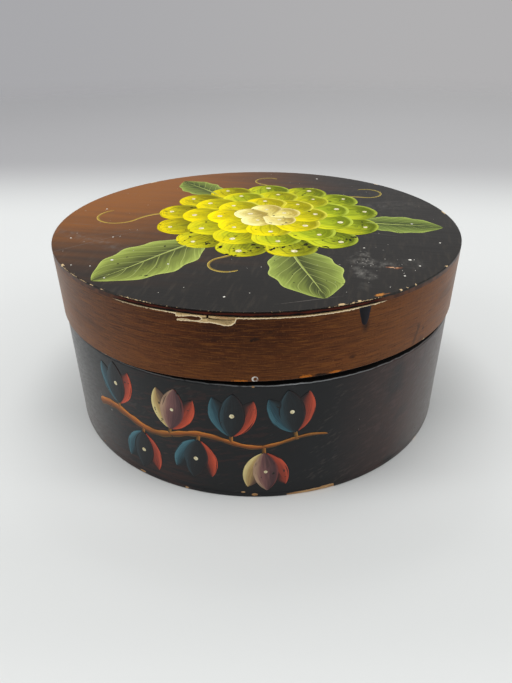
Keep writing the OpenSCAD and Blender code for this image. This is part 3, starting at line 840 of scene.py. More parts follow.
lid_lacquer, tree, shader, where = new_finish("lid_lacquer", Specular_IOR_Level=0.2)
x, y, z = xyz(where)
brush = brushed(where, (60, 700, 60), (0, 0, 12))
cross = brushed(where, (620, 90, 60), (0, 0, 12))
blotches = cloud(where, 26, 4)
black = blend(blotches, "#161513", "#24211d")
glow_away = vector("SUBTRACT", where, (-0.1076, 0.0778, 0))
glow_away = reach_of(vector("MULTIPLY", glow_away, (0.65, 0.66, 0)))
glow_away = times_plus(calc("SUBTRACT", brush["Patches"], 0.5), 0.035, glow_away)
glow = calc("POWER", rise(glow_away, 0.125, 0.03), 1.65)
sienna = blend(brush["Fine"], "#7c4506", "#8f550e")
coat = blend(glow, black, sienna)
soft_streak = rise(cross["Fine"], 0.5, 0.75)
coat = laid(coat, "#6a5f50", soft_streak, 0.1)

scuffs = (
    (46.5, -46.2, 2.4, 2.2, 0, 1.4, 0.6, 0.5), (45.2, -55.2, 4.6, 3.0, 8, 1.4, 0.6, 0.55),
    (48.3, -51.2, 1.0, 3.6, -8, 1.2, 0.6, 0.4), (50.2, -58.6, 3.4, 2.2, -12, 1.6, 0.6, 0.35),
    (40.0, -50.8, 0.6, 2.8, 36, 1.2, 0.5, 0.35), (41.5, -65.5, 2.2, 4.0, 0, 1.8, 0.8, 0.45),
    (44.4, -69.0, 2.8, 3.6, -20, 1.8, 0.8, 0.45), (55.0, -58.5, 3.2, 2.6, 0, 2.0, 0.8, 0.3),
    (41.5, -79.5, 2.0, 2.4, 0, 2.0, 0.8, 0.2), (66.0, -57.5, 3.5, 4.0, 0, 2.2, 0.9, 0.15),
    (-77, -26, 25, 3, 35, 2.0, 0.9, 0.22), (68, 22, 16, 5, -8, 2.0, 0.9, 0.15),
)
crumbs = rise(cloud(where, 300, 8), 0.38, 0.6)
smears = rise(cloud(stretched(where, (900, 260, 1), (0, 0, 20)), 1, 5), 0.4, 0.7)
crumbled = times(crumbs, times_plus(smears, 0.7, 0.3))


def lid_mark(x, y, half_w, half_l, turn, ragged, softness):
    """A mark on the lid, given by its middle and half sizes in mm and its turn."""
    middle = (x * mm, y * mm, lid_top * mm)
    halves = (half_w * mm, half_l * mm, 1)
    return marked(middle, (0, 0, math.radians(turn)), halves, ragged, softness)


for *scuff, strength in scuffs:
    coat = laid(coat, "#75726c", times(crumbled, lid_mark(*scuff)), 2 * strength)
lid_marks = (
    (55.2, -61.4, 1.6, 0.6, -4, "#8a5030"), (58.3, -62.4, 2.0, 0.8, 16, "#7a4526"),
    (55.9, -61.6, 1.1, 0.4, 0, "#dcb088"), (58.0, -62.0, 0.7, 0.4, 10, "#c99a70"),
    (46.0, -87.2, 2.0, 0.9, 25, "#c9822c"), (48.6, -86.4, 1.6, 0.3, 25, "#8a5424"),
    (-97.5, -13.5, 0.8, 2.4, 0, "#7d4a22"), (-76.4, -28.3, 26, 0.16, 39, "#6d665f"),
    (-66.0, -14.0, 16, 0.14, 24, "#5d564f"), (-88.5, -3.0, 7, 0.14, -12, "#6d665f"),
    (60, -22, 9, 0.12, -20, "#5a5650"), (74, 30, 14, 0.12, 12, "#5a5650"),
    (20, -91, 11, 0.14, 14, "#6d665f"),
)
for x, y, half_w, half_l, turn, code in lid_marks:
    coat = laid(coat, code, lid_mark(x, y, half_w, half_l, -turn, 1.4, 0.3), 0.75)
specks = use(dust, Vector=where, Cells=260, Share=0.045)
coat = laid(coat, "#aca79e", specks["Mask"], 0.35)
inside_wood = wood_of(where, (40, 1500, 1500), pale_wood, board_wood)
edge_streaks = cloud(stretched(where, (200, 200, 900)), 1, 4)
edge_middle_z = 0.0917
lip_z, lip_whole_z = 0.093, 0.0928
# The board's bare edge in the opened joint: red-brown about its middle, painted near-black above and below
# it as shade in the joint
edge_band = apart(z, edge_middle_z)
edge_band = times_plus(calc("SUBTRACT", edge_streaks, 0.5), 0.0016, edge_band)
edge_wood_and_shade = blend(rise(edge_band, 0.0006, 0.0001), "#0b0302", "#4d1a0b")
bare_value = attribute(tree, "bare")
side_coat = blend(rise(cloud(where, 300), 0.35, 0.65), "#3a1d0c", "#5a3217")
below_edge = rise(times_plus(cloud(where, 260), 0.0012, z), lip_z, lip_whole_z)
coat = blend(below_edge, coat, side_coat)
bare = use(bare_wood, Bare=bare_value, Vector=where, Ragged=0.5)["Mask"]
hidden_side = rise(bare_value, 2.9, 3.0)
old_edge = attribute(tree, "old_edge")
chip_colour = blend(cloud(where, 900, 2), "#9a7450", "#f0d9a8")
under = blend(hidden_side, chip_colour, inside_wood["Color"])
coat = blend(old_edge, blend(bare, coat, under), edge_wood_and_shade)
gloss = times_plus(brush["Fine"], 0.16, 0.3)
rough = calc("MAXIMUM", gloss, times(calc("MAXIMUM", bare, old_edge), 0.8))
height = calc("ADD", times(brush["Fine"], 0.5), times(cross["Fine"], 0.4))
surface(shader, coat, rough, height, 0.035)

section = [(0, hoop_top), (50, hoop_top), (90, hoop_top), (lid_inner_r, hoop_top), (98.8, hoop_top)]
section += rows((lid_r, hoop_top), (lid_r, lid_top - lid_round), 9)
section += arc((lid_r - lid_round, lid_top - lid_round), lid_round, 0, 90, 6)
section += [(99.0, lid_top), (98, lid_top), (96, lid_top), (90, lid_top), (60, lid_top), (0, lid_top)]
bm = spun(section, closed=False, stretches=((-60, 120, 540), (60, 240, 150)))
bare_layer = bm.verts.layers.float.new("bare")
old_layer = bm.verts.layers.float.new("old_edge")
rim_chips = (
    (18.0, 93.0, 1.0, 0.22), (20.7, 93.0, 0.5, 0.2), (22.1, 93.0, 0.7, 0.2), (33.4, 93.0, 0.6, 0.22),
    (35.5, 93.0, 0.4, 0.2), (38.3, 93.0, 0.5, 0.22), (52.5, 92.95, 0.8, 0.2), (-53, 92.88, 2.2, 0.1),
    (-48.7, 92.88, 2.6, 0.11), (-44.2, 92.88, 1.9, 0.1), (-40.9, 92.9, 1.0, 0.1),
    (-37.2, 92.9, 1.6, 0.1), (-56, 92.9, 1.4, 0.3), (-83, 92.9, 1.2, 0.3), (96, 92.9, 3.0, 0.4),
    (132, 92.9, 1.8, 0.4), (-140, 92.9, 2.6, 0.45),
)
for vert in bm.verts:
    turn, r, z = side_place(vert.co)
    if z < hoop_top + 0.01 and r < lid_inner_face_r:
        vert[bare_layer] = inner_side
        continue
    lost = max(in_oval(chip, turn, z, lid_r) for chip in rim_chips) if r > rim_side_r else nowhere
    sprung = sprung_at(turn)
    torn = grit(turn * 2.3, 5, 0)
    lip = lid_top - lid_round * (0.75 + 0.35 * torn)
    if r > rim_side_r:
        worn = 0.06 + 0.14 * max(soft_step(turn, 12, 20), soft_step(-turn, 20, 26))
        paint_line = worn - abs(z - lip - 0.1) - 0.3 * (1 - sprung)
        lost = max(lost, min(paint_line, 0.3) + 0.2 * grit(turn * 5, 9, 0) - 0.1)
    vert[bare_layer] = lost
    vert[old_layer] = sprung * soft_step(lip - z, 0, 0.2) if r > edge_side_r else 0
    if r > edge_side_r and z < lip:
        press_in(vert, sprung * bare_edge_deep * (1 + 0.3 * grit(turn * 4, z * 2, 3)))
    elif lost > 0 and r > rim_side_r:
        press_in(vert, 0.12 * soft_step(lost, 0, 0.3))
lid_board = finished("lid_board_wood", bm, lid_lacquer)
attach(lid_board, "lid")
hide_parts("lid_board")

# Painted twig
# The painter drew it round the body's front in one loaded stroke, thick at its left end, with a
# short stalk up or down to every bud. It stands a little proud of the lacquer.
random.seed(11)
paint_under = -0.15
paint_merge_reach = 0.002
body_paint_lift = 0.04
twig_from = -47
twig_z = (board_t + body_h) / 2
twig_wave = 2.4
twig_w = 4.4
bud_l = 22
bud_gap = 4
bud_count = 7
bud_step = math.degrees((0.44 * bud_l + bud_gap) / body_r)
twig_steps = 2 * bud_count
twig_end = twig_from + (1.1 + bud_count) * bud_step
stalk_l = 3
stalk_w = 1.8


def paint_mesh():
    """Starts the mesh of a layer of paint. It keeps each point's place in its brush stroke (nearness
    to the rim, way along, seed), the stroke's light (light, tone, wear) and the distance from its
    middle line."""
    bm = bmesh.new()
    bm.verts.layers.float_vector.new("brush")
    bm.verts.layers.float_vector.new("light")
    bm.verts.layers.float.new("crease")
    return bm


def stroke(bm, columns, lines, form, lay, tone=0.5, worn=0.0):
    """Adds one brush stroke, closed below. form() takes a place across and along it, from 0 to 1,
    and gives x, y and lift in mm, nearness to the rim, way along and light; lay() sets the place
    on the wood."""
    brush_layer = bm.verts.layers.float_vector["brush"]
    light_layer = bm.verts.layers.float_vector["light"]
    crease_layer = bm.verts.layers.float["crease"]
    seed = random.uniform(0, 90)
    under = bmesh.ops.create_grid(bm, x_segments=columns, y_segments=lines, size=1)["verts"]
    faces = list({face for vert in under for face in vert.link_faces})
    pulled = bmesh.ops.extrude_face_region(bm, geom=faces)["geom"]
    over = [made for made in pulled if isinstance(made, bmesh.types.BMVert)]
    for verts, on_top in ((over, True), (under, False)):
        for vert in verts:
            x, y, lift, ring, along, light = form((vert.co.x + 1) / 2, (vert.co.y + 1) / 2)
            if on_top:
                vert[crease_layer] = abs(vert.co.x)
            vert.co = lay(x, y, lift if on_top else paint_under)
            vert[brush_layer] = (ring, along, seed)
            vert[light_layer] = (light, tone, worn)


def closed_paint(name, bm, finish):
    """Closes a layer of paint and makes its object."""
    bmesh.ops.remove_doubles(bm, verts=bm.verts[:], dist=paint_merge_reach * mm)
    bmesh.ops.recalc_face_normals(bm, faces=bm.faces[:])
    return finished(name, bm, finish, sharp=50)


def painted(name, bm, finish, carrier, slot, node):
    """Sets a layer of paint in the place of its solid."""
    piece = closed_paint(name, bm, finish)
    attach(piece, carrier)
    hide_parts(node)


def blunt(t, start, end):
    """Rounds off the two ends of a stroke, over the given shares of its length."""
    near = min(1, t / start) if start else 1
    far = min(1, (1 - t) / end) if end else 1
    return math.sqrt(max(0, 1 - (1 - near) ** 2)) * math.sqrt(max(0, 1 - (1 - far) ** 2))


def bud_up(i):
    """Buds stand on the twig and hang from it by turns."""
    return 1 if i % 2 == 0 else -1


def twig_height(k):
    return twig_z + twig_wave * math.sin(math.radians(62 * k))


def twig_width(k):
    return twig_w * (1 - 0.72 * k / twig_steps)


def at_bud(i):
    """Lays x and y, measured from the base of a bud towards its tip, on the body's side."""
    turn = twig_from + (1.1 + i) * bud_step
    root = twig_height((1.1 + i) * bud_step * twig_steps / (twig_end - twig_from))
    lean = math.radians(10 * math.sin(math.radians(140 * i)))

    def lay(x, y, lift):
        across = x * math.cos(lean) - (y + stalk_l) * math.sin(lean)
        up = x * math.sin(lean) + (y + stalk_l) * math.cos(lean)
        return at_side(turn + math.degrees(across / body_r), root + bud_up(i) * up, body_r + lift)

    return lay


def along_twig(s, t):
    k = t * twig_steps
    half = 0.5 * twig_width(k) * (1 + 0.1 * math.cos(2 * math.pi * k)) * blunt(t, 0.02, 0.02)
    half *= 1 + 0.16 * grit(k * 1.7, 4 * (s > 0.5), 0)
    across = 2 * s - 1
    x = math.radians(t * (twig_end - twig_from)) * body_r
    y = twig_height(k) - twig_z + across * half
    return x, y, body_paint_lift + 0.05 * (1 - across**4), abs(across), t * 14, 0.5 + 0.5 * across


def along_stalk(s, t):
    across = 2 * s - 1
    half = 0.5 * stalk_w * (1.1 - 0.35 * t) * blunt(t, 0, 0.2)
    y = -stalk_l - 0.8 + (stalk_l + 2.4) * t
    lift = body_paint_lift + 0.02 + 0.03 * (1 - across**2)
    return across * half, y, lift, abs(across), t, 0.5 + 0.5 * across


def along_body(x, y, lift):
    return at_side(twig_from + math.degrees(x / body_r), twig_z + y, body_r + lift)


# Double-loaded brush: shade and colour drawn out together in hairlines that follow the stroke,
# with the light colour at the rim of the lit side and a thin one at the far rim
double_loaded, given, made = effect(
    "double_loaded",
    ("Color", "Height"),
    Brush=(0, 0, 0),
    Light=0.5,
    Hairs=16.0,
    Shade="#333a1c",
    Body="#8a9428",
    Bright="#d8cc20",
    Edge="#b4c45a",
)
ring, along, seed = xyz(given["Brush"])
hair_path = joined(times(ring, given["Hairs"]), along, seed)
hairs = cloud(hair_path, 1, 4)
drift = calc("SUBTRACT", hairs, 0.5)
light_here = times_plus(drift, 0.9, given["Light"])
body_mask = rise(light_here, 0.15, 0.75)
colour = blend(body_mask, given["Shade"], given["Body"])
rim = rise(times_plus(drift, 0.6, ring), 0.3, 0.95)
bright = times(rim, rise(light_here, 0.4, 0.85))
colour = blend(bright, colour, given["Bright"])
far_rim = rise(times_plus(drift, 0.3, ring), 0.78, 1.0)
far_rim = times(far_rim, rise(given["Light"], 0.5, 0.15))
colour = laid(colour, given["Edge"], far_rim, 0.75)
thin = rise(hairs, 0.62, 0.8)
colour = laid(colour, given["Shade"], thin, 0.3)
join(colour, made["Color"])
join(hairs, made["Height"])


def brush_paint(name, left, right, hairs=16.0, loss=0.66, coat=0.3, frayed=0.0, creased=0.0):
    """Finish of a double-loaded layer of paint. Its shade, body, bright and edge colours run from
    the left set to the right set with the stroke's tone, and flakes of it are lost where worn. A
    frayed one runs dry at its rim, and a creased one has the fine dark lines of a petal."""
    finish, tree, shader, where = new_finish(name, Specular_IOR_Level=coat)
    brush = attribute(tree, "brush", "Vector")
    light = xyz(attribute(tree, "light", "Vector"))
    drifting = times_plus(cloud(where, 55, 2), 1.2, -0.6)
    tone = rise(calc("ADD", light[1], drifting), -0.1, 1.1)
    sockets = {"Brush": brush, "Light": light[0], "Hairs": hairs}
    for label, first, second in zip(("Shade", "Body", "Bright", "Edge"), left.split(), right.split()):
        sockets[label] = blend(tone, first, second)
    paint = use(double_loaded, **sockets)
    chips = times_plus(light[2], 0.06, cloud(where, 330, 5))
    lost = rise(chips, loss + 0.02, loss + 0.05)
    tint = times_plus(cloud(where, 140), 0.5, 0.75)
    toned = put(tree, "VectorMath", {0: paint["Color"], 3: tint}, operation="SCALE").outputs["Vector"]
    ring = xyz(brush)[0]
    if creased:
        crease = calc("PINGPONG", attribute(tree, "crease"), 0.2)
        crease = rise(times_plus(paint["Height"], 0.06, crease), 0.085, 0.04)
        crease = times(crease, rise(ring, 0.96, 0.66))
        toned = laid(toned, sockets["Shade"], crease, creased)
    if frayed:
        bristles = times(calc("SUBTRACT", paint["Height"], 0.5), 3.2)
        dry = calc("ADD", bristles, calc("POWER", ring, 2.0))
        dry = times(rise(dry, 0.84, 1.1), frayed)
        toned = blend(dry, toned, "#0c0c0e")
    rough = times_plus(paint["Height"], 0.3, 0.3)
    height = times_plus(lost, -0.8, paint["Height"])
    surface(shader, blend(lost, toned, "#1c1a17"), rough, height, 0.06)
    return finish


twig_finish = brush_paint(
    "twig_paint", "#5e3212 #a85a1e #cf8136 #7d6a26", "#4a3d18 #80602a #a98236 #6f6c28", hairs=4, frayed=0.7
)
bm = paint_mesh()
stroke(bm, 12, 220, along_twig, along_body, 0.25)
for i in range(bud_count):
    stroke(bm, 6, 14, along_stalk, at_bud(i), 0.6)
painted("twig_strokes", bm, twig_finish, "body", "twig_paint", "body_twig")

# Painted buds
# Three strokes make a bud on the body: a slate-blue or cream one, an orange-red one, and a dark
# or mauve one laid over both, with a touch of cream on it.
bud_w = 0.5 * bud_l
side_l = 0.92 * bud_l
side_w = 0.42 * bud_l
side_lean = math.radians(21)
pale_buds = (2, 5)
dot_r = 1.2


def oval_half(along, length, width):
    """Half width of a pointed oval at a distance from its base."""
    radius = (length**2 + width**2) / (4 * width)
    return max(0, math.sqrt(radius**2 - (along - length / 2) ** 2) - (radius - width / 2))


def bud_middle(s, t):
    across = 2 * s - 1
    x = across * oval_half(bud_l * t, bud_l, bud_w)
    lift = body_paint_lift + 0.06 + 0.03 * (1 - across**4)
    return x, bud_l * t, lift, abs(across), t * 2, 0.5 - 0.5 * across


def bud_side(way):
    """The stroke on the left of a bud for -1, on its right for 1."""

    def form(s, t):
        across = 2 * s - 1
        x = across * oval_half(side_l * t, side_l, side_w)
        y = side_l * t
        turned_x = x * math.cos(side_lean) + way * y * math.sin(side_lean) + way * 0.05 * bud_l
        turned_y = y * math.cos(side_lean) - way * x * math.sin(side_lean) + 0.02 * bud_l
        light = 0.5 + 0.5 * across * way
        lift = body_paint_lift + 0.02 * (1 - across**4)
        return turned_x, turned_y, lift, max(0, across * way), t * 2, light

    return form


teal_finish = brush_paint(
    "teal_paint", "#11181b #2a4d58 #4a7a86 #2a4d58", "#14191b #23434e #3c6975 #23434e", hairs=7, frayed=0.9
)
red_finish = brush_paint(
    "red_paint", "#1f1414 #a03c26 #cf5334 #a03c26", "#1f1414 #7e3326 #b84a33 #7e3326", hairs=9, frayed=0.9
)
dark_finish = brush_paint(
    "dark_paint", "#141619 #1b2327 #2b434b #3d2422", "#141619 #1a1d20 #26363c #4a2a26", hairs=7, frayed=0.9
)
mauve_finish = brush_paint(
    "mauve_paint", "#4a3033 #7a5350 #b39478 #8a4038", "#4a2f33 #6f4a4b #a08070 #8a4038", hairs=7, frayed=0.7
)
cream_finish = brush_paint(
    "cream_petal_paint", "#5c4436 #b4965f #dccb8c #b4965f", "#b39c30 #efe07a #fdf6ae #f6ea9c", hairs=9
)
bud_layers = (
    ("bud_teal_strokes", teal_finish, "teal_paint", "body_teal_petals", bud_side(-1), False),
    ("bud_cream_strokes", cream_finish, "cream_petal_paint", "body_cream_petals", bud_side(-1), True),
    ("bud_red_strokes", red_finish, "red_paint", "body_red_petals", bud_side(1), None),
    ("bud_dark_strokes", dark_finish, "dark_paint", "body_dark_petals", bud_middle, False),
    ("bud_mauve_strokes", mauve_finish, "mauve_paint", "body_mauve_petals", bud_middle, True),
)
for name, finish, slot, node, form, pale in bud_layers:
    bm = paint_mesh()
    for i in range(bud_count):
        if pale is None or pale == (i in pale_buds):
            stroke(bm, 14, 30, form, at_bud(i), 0 if pale else random.random())
    painted(name, bm, finish, "body", slot, node)


def dot(bm, middle, outward, radius, thick):
    """A touch of the brush: a low round dome with an uneven rim, half sunk in the paint."""
    facing = outward.to_track_quat("Z", "Y").to_matrix().to_4x4()
    seed = random.uniform(0, 90)
    made = bmesh.ops.create_uvsphere(bm, u_segments=18, v_segments=8, radius=1)["verts"]
    for vert in made:
        spread = radius * (1 + 0.16 * grit(vert.co.x * 1.3 + seed, vert.co.y * 1.3, 0))
        vert.co = Vector((vert.co.x * spread, vert.co.y * spread, vert.co.z * thick)) * mm
    bmesh.ops.transform(bm, matrix=Matrix.Translation(middle) @ facing, verts=made)


dot_finish, tree, shader, where = new_finish("dot_paint", Specular_IOR_Level=0.4, Roughness=0.4)
dab = cloud(where, 900)
join(blend(rise(dab, 0.35, 0.65), "#cdbf92", "#f4edc8"), shader.inputs["Base Color"])
relief(shader, dab, 0.05)

bm = bmesh.new()
for i in range(bud_count):
    middle = at_bud(i)(0, bud_l * 0.5, body_paint_lift + 0.09)
    dot(bm, middle, Vector((middle.x, middle.y, 0)), dot_r * random.uniform(0.65, 0.85), 0.1)
bud_dots = finished("bud_dots_paint", bm, dot_finish, sharp=80)
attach(bud_dots, "body")
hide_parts("body_dots")

# Painted leaves
# Broad olive leaves under the flower, each made of side strokes swept out from a pale middle
# vein that was drawn last.
flower_middle = Vector((6, 8))
flower_reach = 58
heart_reach = 18
leaf_base = flower_reach - 12
leaves = ((228, 62, 0.2), (281, 53.94, 0.45), (346, 42.16, 0.9), (126, 40.3, 0.8))
leaf_slim = 0.56
vein_w = 1.6
flat_r = 99.45


def on_lid(turn, out=0.0):
    """Lays x and y on the lid: y points outwards at a turn about the flower's middle."""
    facing = Matrix.Rotation(math.radians(turn - 90), 2)

    def lay(x, y, lift):
        place = flower_middle + facing @ Vector((x, y + out))
        if place.length > flat_r:
            place *= flat_r / place.length
        return Vector((place.x, place.y, lid_top + lift)) * mm

    return lay


def leaf_form(length):
    def form(s, t):
        across = 2 * s - 1
        half = oval_half(length * t, length, length * leaf_slim)
        half *= 1 + 0.05 * math.sin(t * 26 + (0.8 if s > 0.5 else 0)) * min(1, 4 * t)
        return across * half, length * t, 0.03 + 0.02 * (1 - across**4), abs(across), t, s

    return form


def vein_form(length):
    def form(s, t):
        across = 2 * s - 1
        half = 0.5 * vein_w * (1 - t) ** 0.8 * (1 + 0.15 * grit(t * 7, length, 0))
        bend = 0.5 * math.sin(t * 5)
        return across * half + bend, length * 0.93 * t, 0.075 - 0.02 * across**2, abs(across), t * 4, s

    return form


leaf_finish, tree, shader, where = new_finish("leaf_paint", Specular_IOR_Level=0.02)
ring, along, seed = xyz(attribute(tree, "brush", "Vector"))
light = xyz(attribute(tree, "light", "Vector"))
swept = times_plus(ring, -0.34, along)
hairs = cloud(joined(times(swept, 34), ring, seed), 1, 4)
wide = cloud(joined(times(swept, 9), ring, seed), 1, 2)
drift = calc("SUBTRACT", hairs, 0.5)
outward = times_plus(drift, 0.7, times_plus(wide, 0.5, ring))
leaf_dark = blend(light[1], "#4f5330", "#3f4a2c")
leaf_mid = blend(light[1], "#7b8440", "#66753a")
leaf_pale = blend(light[1], "#a3b158", "#8ea14c")
colour = blend(rise(outward, 0.25, 0.85), leaf_dark, leaf_mid)
colour = blend(rise(outward, 0.85, 1.35), colour, leaf_pale)
side_vein = calc("PINGPONG", times(swept, 7.0), 0.5)
side_vein = times_plus(drift, 0.05, side_vein)
side_vein = times(rise(side_vein, 0.05, 0.015), rise(ring, 0.98, 0.75))
colour = laid(colour, "#b0ba6c", side_vein, 0.55)
rim = rise(times_plus(drift, 0.12, ring), 0.93, 0.99)
colour = laid(colour, "#b9c56e", rim, 0.6)
chips = rise(cloud(where, 360, 5), 0.7, 0.72)
rough = times_plus(hairs, 0.3, 0.3)
surface(shader, blend(chips, colour, "#26241d"), rough, times_plus(side_vein, 0.5, hairs), 0.06)

vein_finish = brush_paint(
    "leaf_vein_paint", "#8c9648 #a6b25c #c5cc84 #a6b25c", "#7d8a3e #96a44e #b5c06e #96a44e",
    hairs=3, coat=0.1,
)
bm = paint_mesh()
for turn, length, tone in leaves:
    stroke(bm, 40, 80, leaf_form(length), on_lid(turn, leaf_base), tone)
painted("leaf_strokes", bm, leaf_finish, "lid", "leaf_paint", "lid_leaves")
bm = paint_mesh()
for turn, length, tone in leaves:
    stroke(bm, 6, 60, vein_form(length), on_lid(turn, leaf_base), tone)
painted("leaf_vein_strokes", bm, vein_finish, "lid", "leaf_vein_paint", "lid_leaf_veins")

# Painted flower
# Four rows of round petals, each one sweep of a brush loaded with two colours, laid from the
# outside in so that every row covers the feet of the last. Light touches follow on the petals.
row_step = (flower_reach - heart_reach) / 3
petal_tip = 0.86 * row_step
heart_tip = heart_reach / 2.1
outer_mid = flower_reach - petal_tip
light_way = Vector((-0.94, -0.34))
first_level = 0.07
row_level = 0.045
heart_row = 3


def petal_form(mid, tip, breadth, foot, turn, level):
    """A petal from its foot to its round tip. Its hairlines run round the tip's middle."""
    facing = Matrix.Rotation(math.radians(turn - 90), 2)
    seed = random.uniform(0, 90)

    def form(s, t):
        across = 2 * s - 1
        if t < 0.4:
            y = foot + (mid - foot) * t / 0.4
            half = breadth * (0.4 + 0.6 * y / mid)
            ring, along = abs(across), (y - mid) / tip
        else:
            sweep = (t - 0.4) / 0.6 * math.pi / 2
            y = mid + tip * math.sin(sweep)
            half = breadth * math.cos(sweep)
            ring = min(1, math.hypot(math.sin(sweep), math.cos(sweep) * across))
            along = math.atan2(math.sin(sweep), abs(across) * math.cos(sweep) + 0.001)
        x = across * half
        wobble = 1 + 0.03 * ring * grit(x / tip * 1.4 + seed, y / tip * 1.4, 0)
        x, y = x * wobble, mid + (y - mid) * wobble
        away = facing @ Vector((x / breadth, (y - mid) / tip))
        lift = level + 0.018 * across + 0.02 * (1 - ring**4)
        return x, y, lift, ring, along, 0.5 + 0.5 * away.dot(light_way)

    return form


outer_finish = brush_paint(
    "olive_petal_paint", "#777014 #b4a814 #e6d010 #c4c22c", "#5a6818 #a0ae28 #c4cc2a #c2d24e",
    hairs=12, loss=0.64, coat=0.01, frayed=0.35, creased=0.55,
)
middle_finish = brush_paint(
    "green_petal_paint", "#968e12 #c8ba10 #f0da06 #dcd234", "#6c7a16 #a6b626 #cdd024 #c8d84e",
    hairs=12, coat=0.01, creased=0.5,
)
inner_finish = brush_paint(
    "yellow_petal_paint", "#a89610 #dcc60c #fce604 #ecde44", "#8c8a12 #c8c01a #f0de10 #e4e056",
    hairs=12, coat=0.01, creased=0.5,
)
petal_rows = (
    ("outer_petal_strokes", outer_finish, "olive_petal_paint", "lid_outer_petals",
     13, outer_mid, petal_tip, 5, 1.08),
    ("middle_petal_strokes", middle_finish, "green_petal_paint", "lid_middle_petals",
     11, outer_mid - row_step, petal_tip, 14, 1.06),
    ("inner_petal_strokes", inner_finish, "yellow_petal_paint", "lid_inner_petals",
     8, outer_mid - 2 * row_step, petal_tip, 2, 1.05),
    ("heart_petal_strokes", cream_finish, "cream_petal_paint", "lid_heart_petals",
     5, heart_reach - heart_tip, heart_tip, 20, 1.0),
)
dots_bm = bmesh.new()
for row, (name, finish, slot, node, count, mid, tip, first, wide) in enumerate(petal_rows):
    bm = paint_mesh()
    level = first_level + row_level * row
    breadth = tip * wide
    foot = max(0.5, mid - 1.6 * tip)
    for i in range(count):
        turn = first + i * 360 / count
        middle = flower_middle + Matrix.Rotation(math.radians(turn), 2) @ Vector((mid, 0))
        tone = 0.5 + 0.5 * middle.x / 45 + random.uniform(-0.22, 0.22)
        if row == heart_row:
            tone = random.uniform(0.8, 1)
        worn = soft_step(-middle.y, 12, 34) * (1 if row == 0 else 0.4)
        form = petal_form(mid, tip, breadth, foot, turn, level)
        stroke(bm, 22, 26, form, on_lid(turn), min(1, max(0, tone)), worn)
        dot_out = mid if row == heart_row else mid + 0.45 * petal_tip
        spot = on_lid(turn)(0, dot_out, level + 0.02)
        dot(dots_bm, spot, Vector((0, 0, 1)), dot_r * random.uniform(0.8, 1.25), 0.06)
    painted(name, bm, finish, "lid", slot, node)
flower_dots = finished("flower_dots_paint", dots_bm, dot_finish, sharp=80)
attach(flower_dots, "lid")
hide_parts("lid_dots")

# Painted tendrils
# Thin gold curls drawn out from under the flower with a pointed brush, broad where it is
# pressed and fine where it lifts.
tendrils = (
    (172, 1, 22, 68, 11, 215), (38, -1, 18.7, 60, 8.36, 230), (84, 1, 16.5, 62, 7.48, 200),
    (255, -1, 19.8, 48, 7.92, 190),
)
tendril_w = 1.7


def tendril_form(way, r1, sweep1, r2, sweep2):
    first_l = r1 * math.radians(sweep1)
    second_l = r2 * math.radians(sweep2)
    turned = math.radians(sweep1 - 90)

    def form(s, t):
        across = 2 * s - 1
        gone = t * (first_l + second_l)
        half = 0.5 * tendril_w * (1.15 - 0.6 * t + 0.15 * math.sin(9 * t)) * blunt(t, 0.02, 0.06)
        if gone < first_l:
            a = gone / r1 - math.pi / 2
            reach = r1 - across * half
            out, side = reach * math.cos(a), r1 + reach * math.sin(a)
        else:
            a = turned + math.pi - (gone - first_l) / r2
            reach = r2 + across * half
            out = (r1 + r2) * math.cos(turned) + reach * math.cos(a)
            side = r1 + (r1 + r2) * math.sin(turned) + reach * math.sin(a)
        return -way * side, out, 0.02 + 0.02 * (1 - across**2), abs(across), t * 8, s

    return form


gold_finish = brush_paint(
    "gold_paint", "#7c6224 #ae8d34 #cdb257 #a68a3c", "#6d6226 #98843a #b5a556 #8f8440", hairs=3, coat=0.12
)
bm = paint_mesh()
for turn, way, r1, sweep1, r2, sweep2 in tendrils:
    form = tendril_form(way, r1, sweep1, r2, sweep2)
    stroke(bm, 8, 90, form, on_lid(turn, outer_mid), 0.5 + 0.5 * math.cos(math.radians(turn)))
painted("tendril_strokes", bm, gold_finish, "lid", "gold_paint", "lid_tendrils")

# Drip and specks
# A run of blue-black paint crosses the edge of the lid at the right, and white paint has
# spattered the lid in small raised specks.
drip_turn = 23.6
drip_top = 90.4
drip_low = 82.6


def along_drip(s, t):
    across = 2 * s - 1
    half = (2.6 - 0.9 * t - 0.8 * t * t) * blunt(t, 0, 0.14) * (1 + 0.08 * grit(t * 4, 2 * (s > 0.5), 5))
    lift = 0.04 + 0.02 * (1 - across**2)
    return across * half + 0.5 * t, -t * (drip_top - drip_low), lift, abs(across), t * 3, s


def on_edge(x, y, lift):
    z = drip_top + y
    past_round = max(0, z - (lid_top - lid_round))
    radius = lid_r - lid_round + math.sqrt(max(0, lid_round**2 - past_round**2))
    return at_side(drip_turn + math.degrees(x / lid_r), z, radius + lift)


drip_finish = brush_paint(
    "drip_paint", "#121116 #1b1a20 #24232b #1e1d24", "#121116 #1b1a20 #24232b #1e1d24",
    hairs=3, loss=0.75, coat=0.12,
)
bm = paint_mesh()
stroke(bm, 10, 40, along_drip, on_edge)
drip = closed_paint("paint_drip", bm, drip_finish)
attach(drip, "lid")

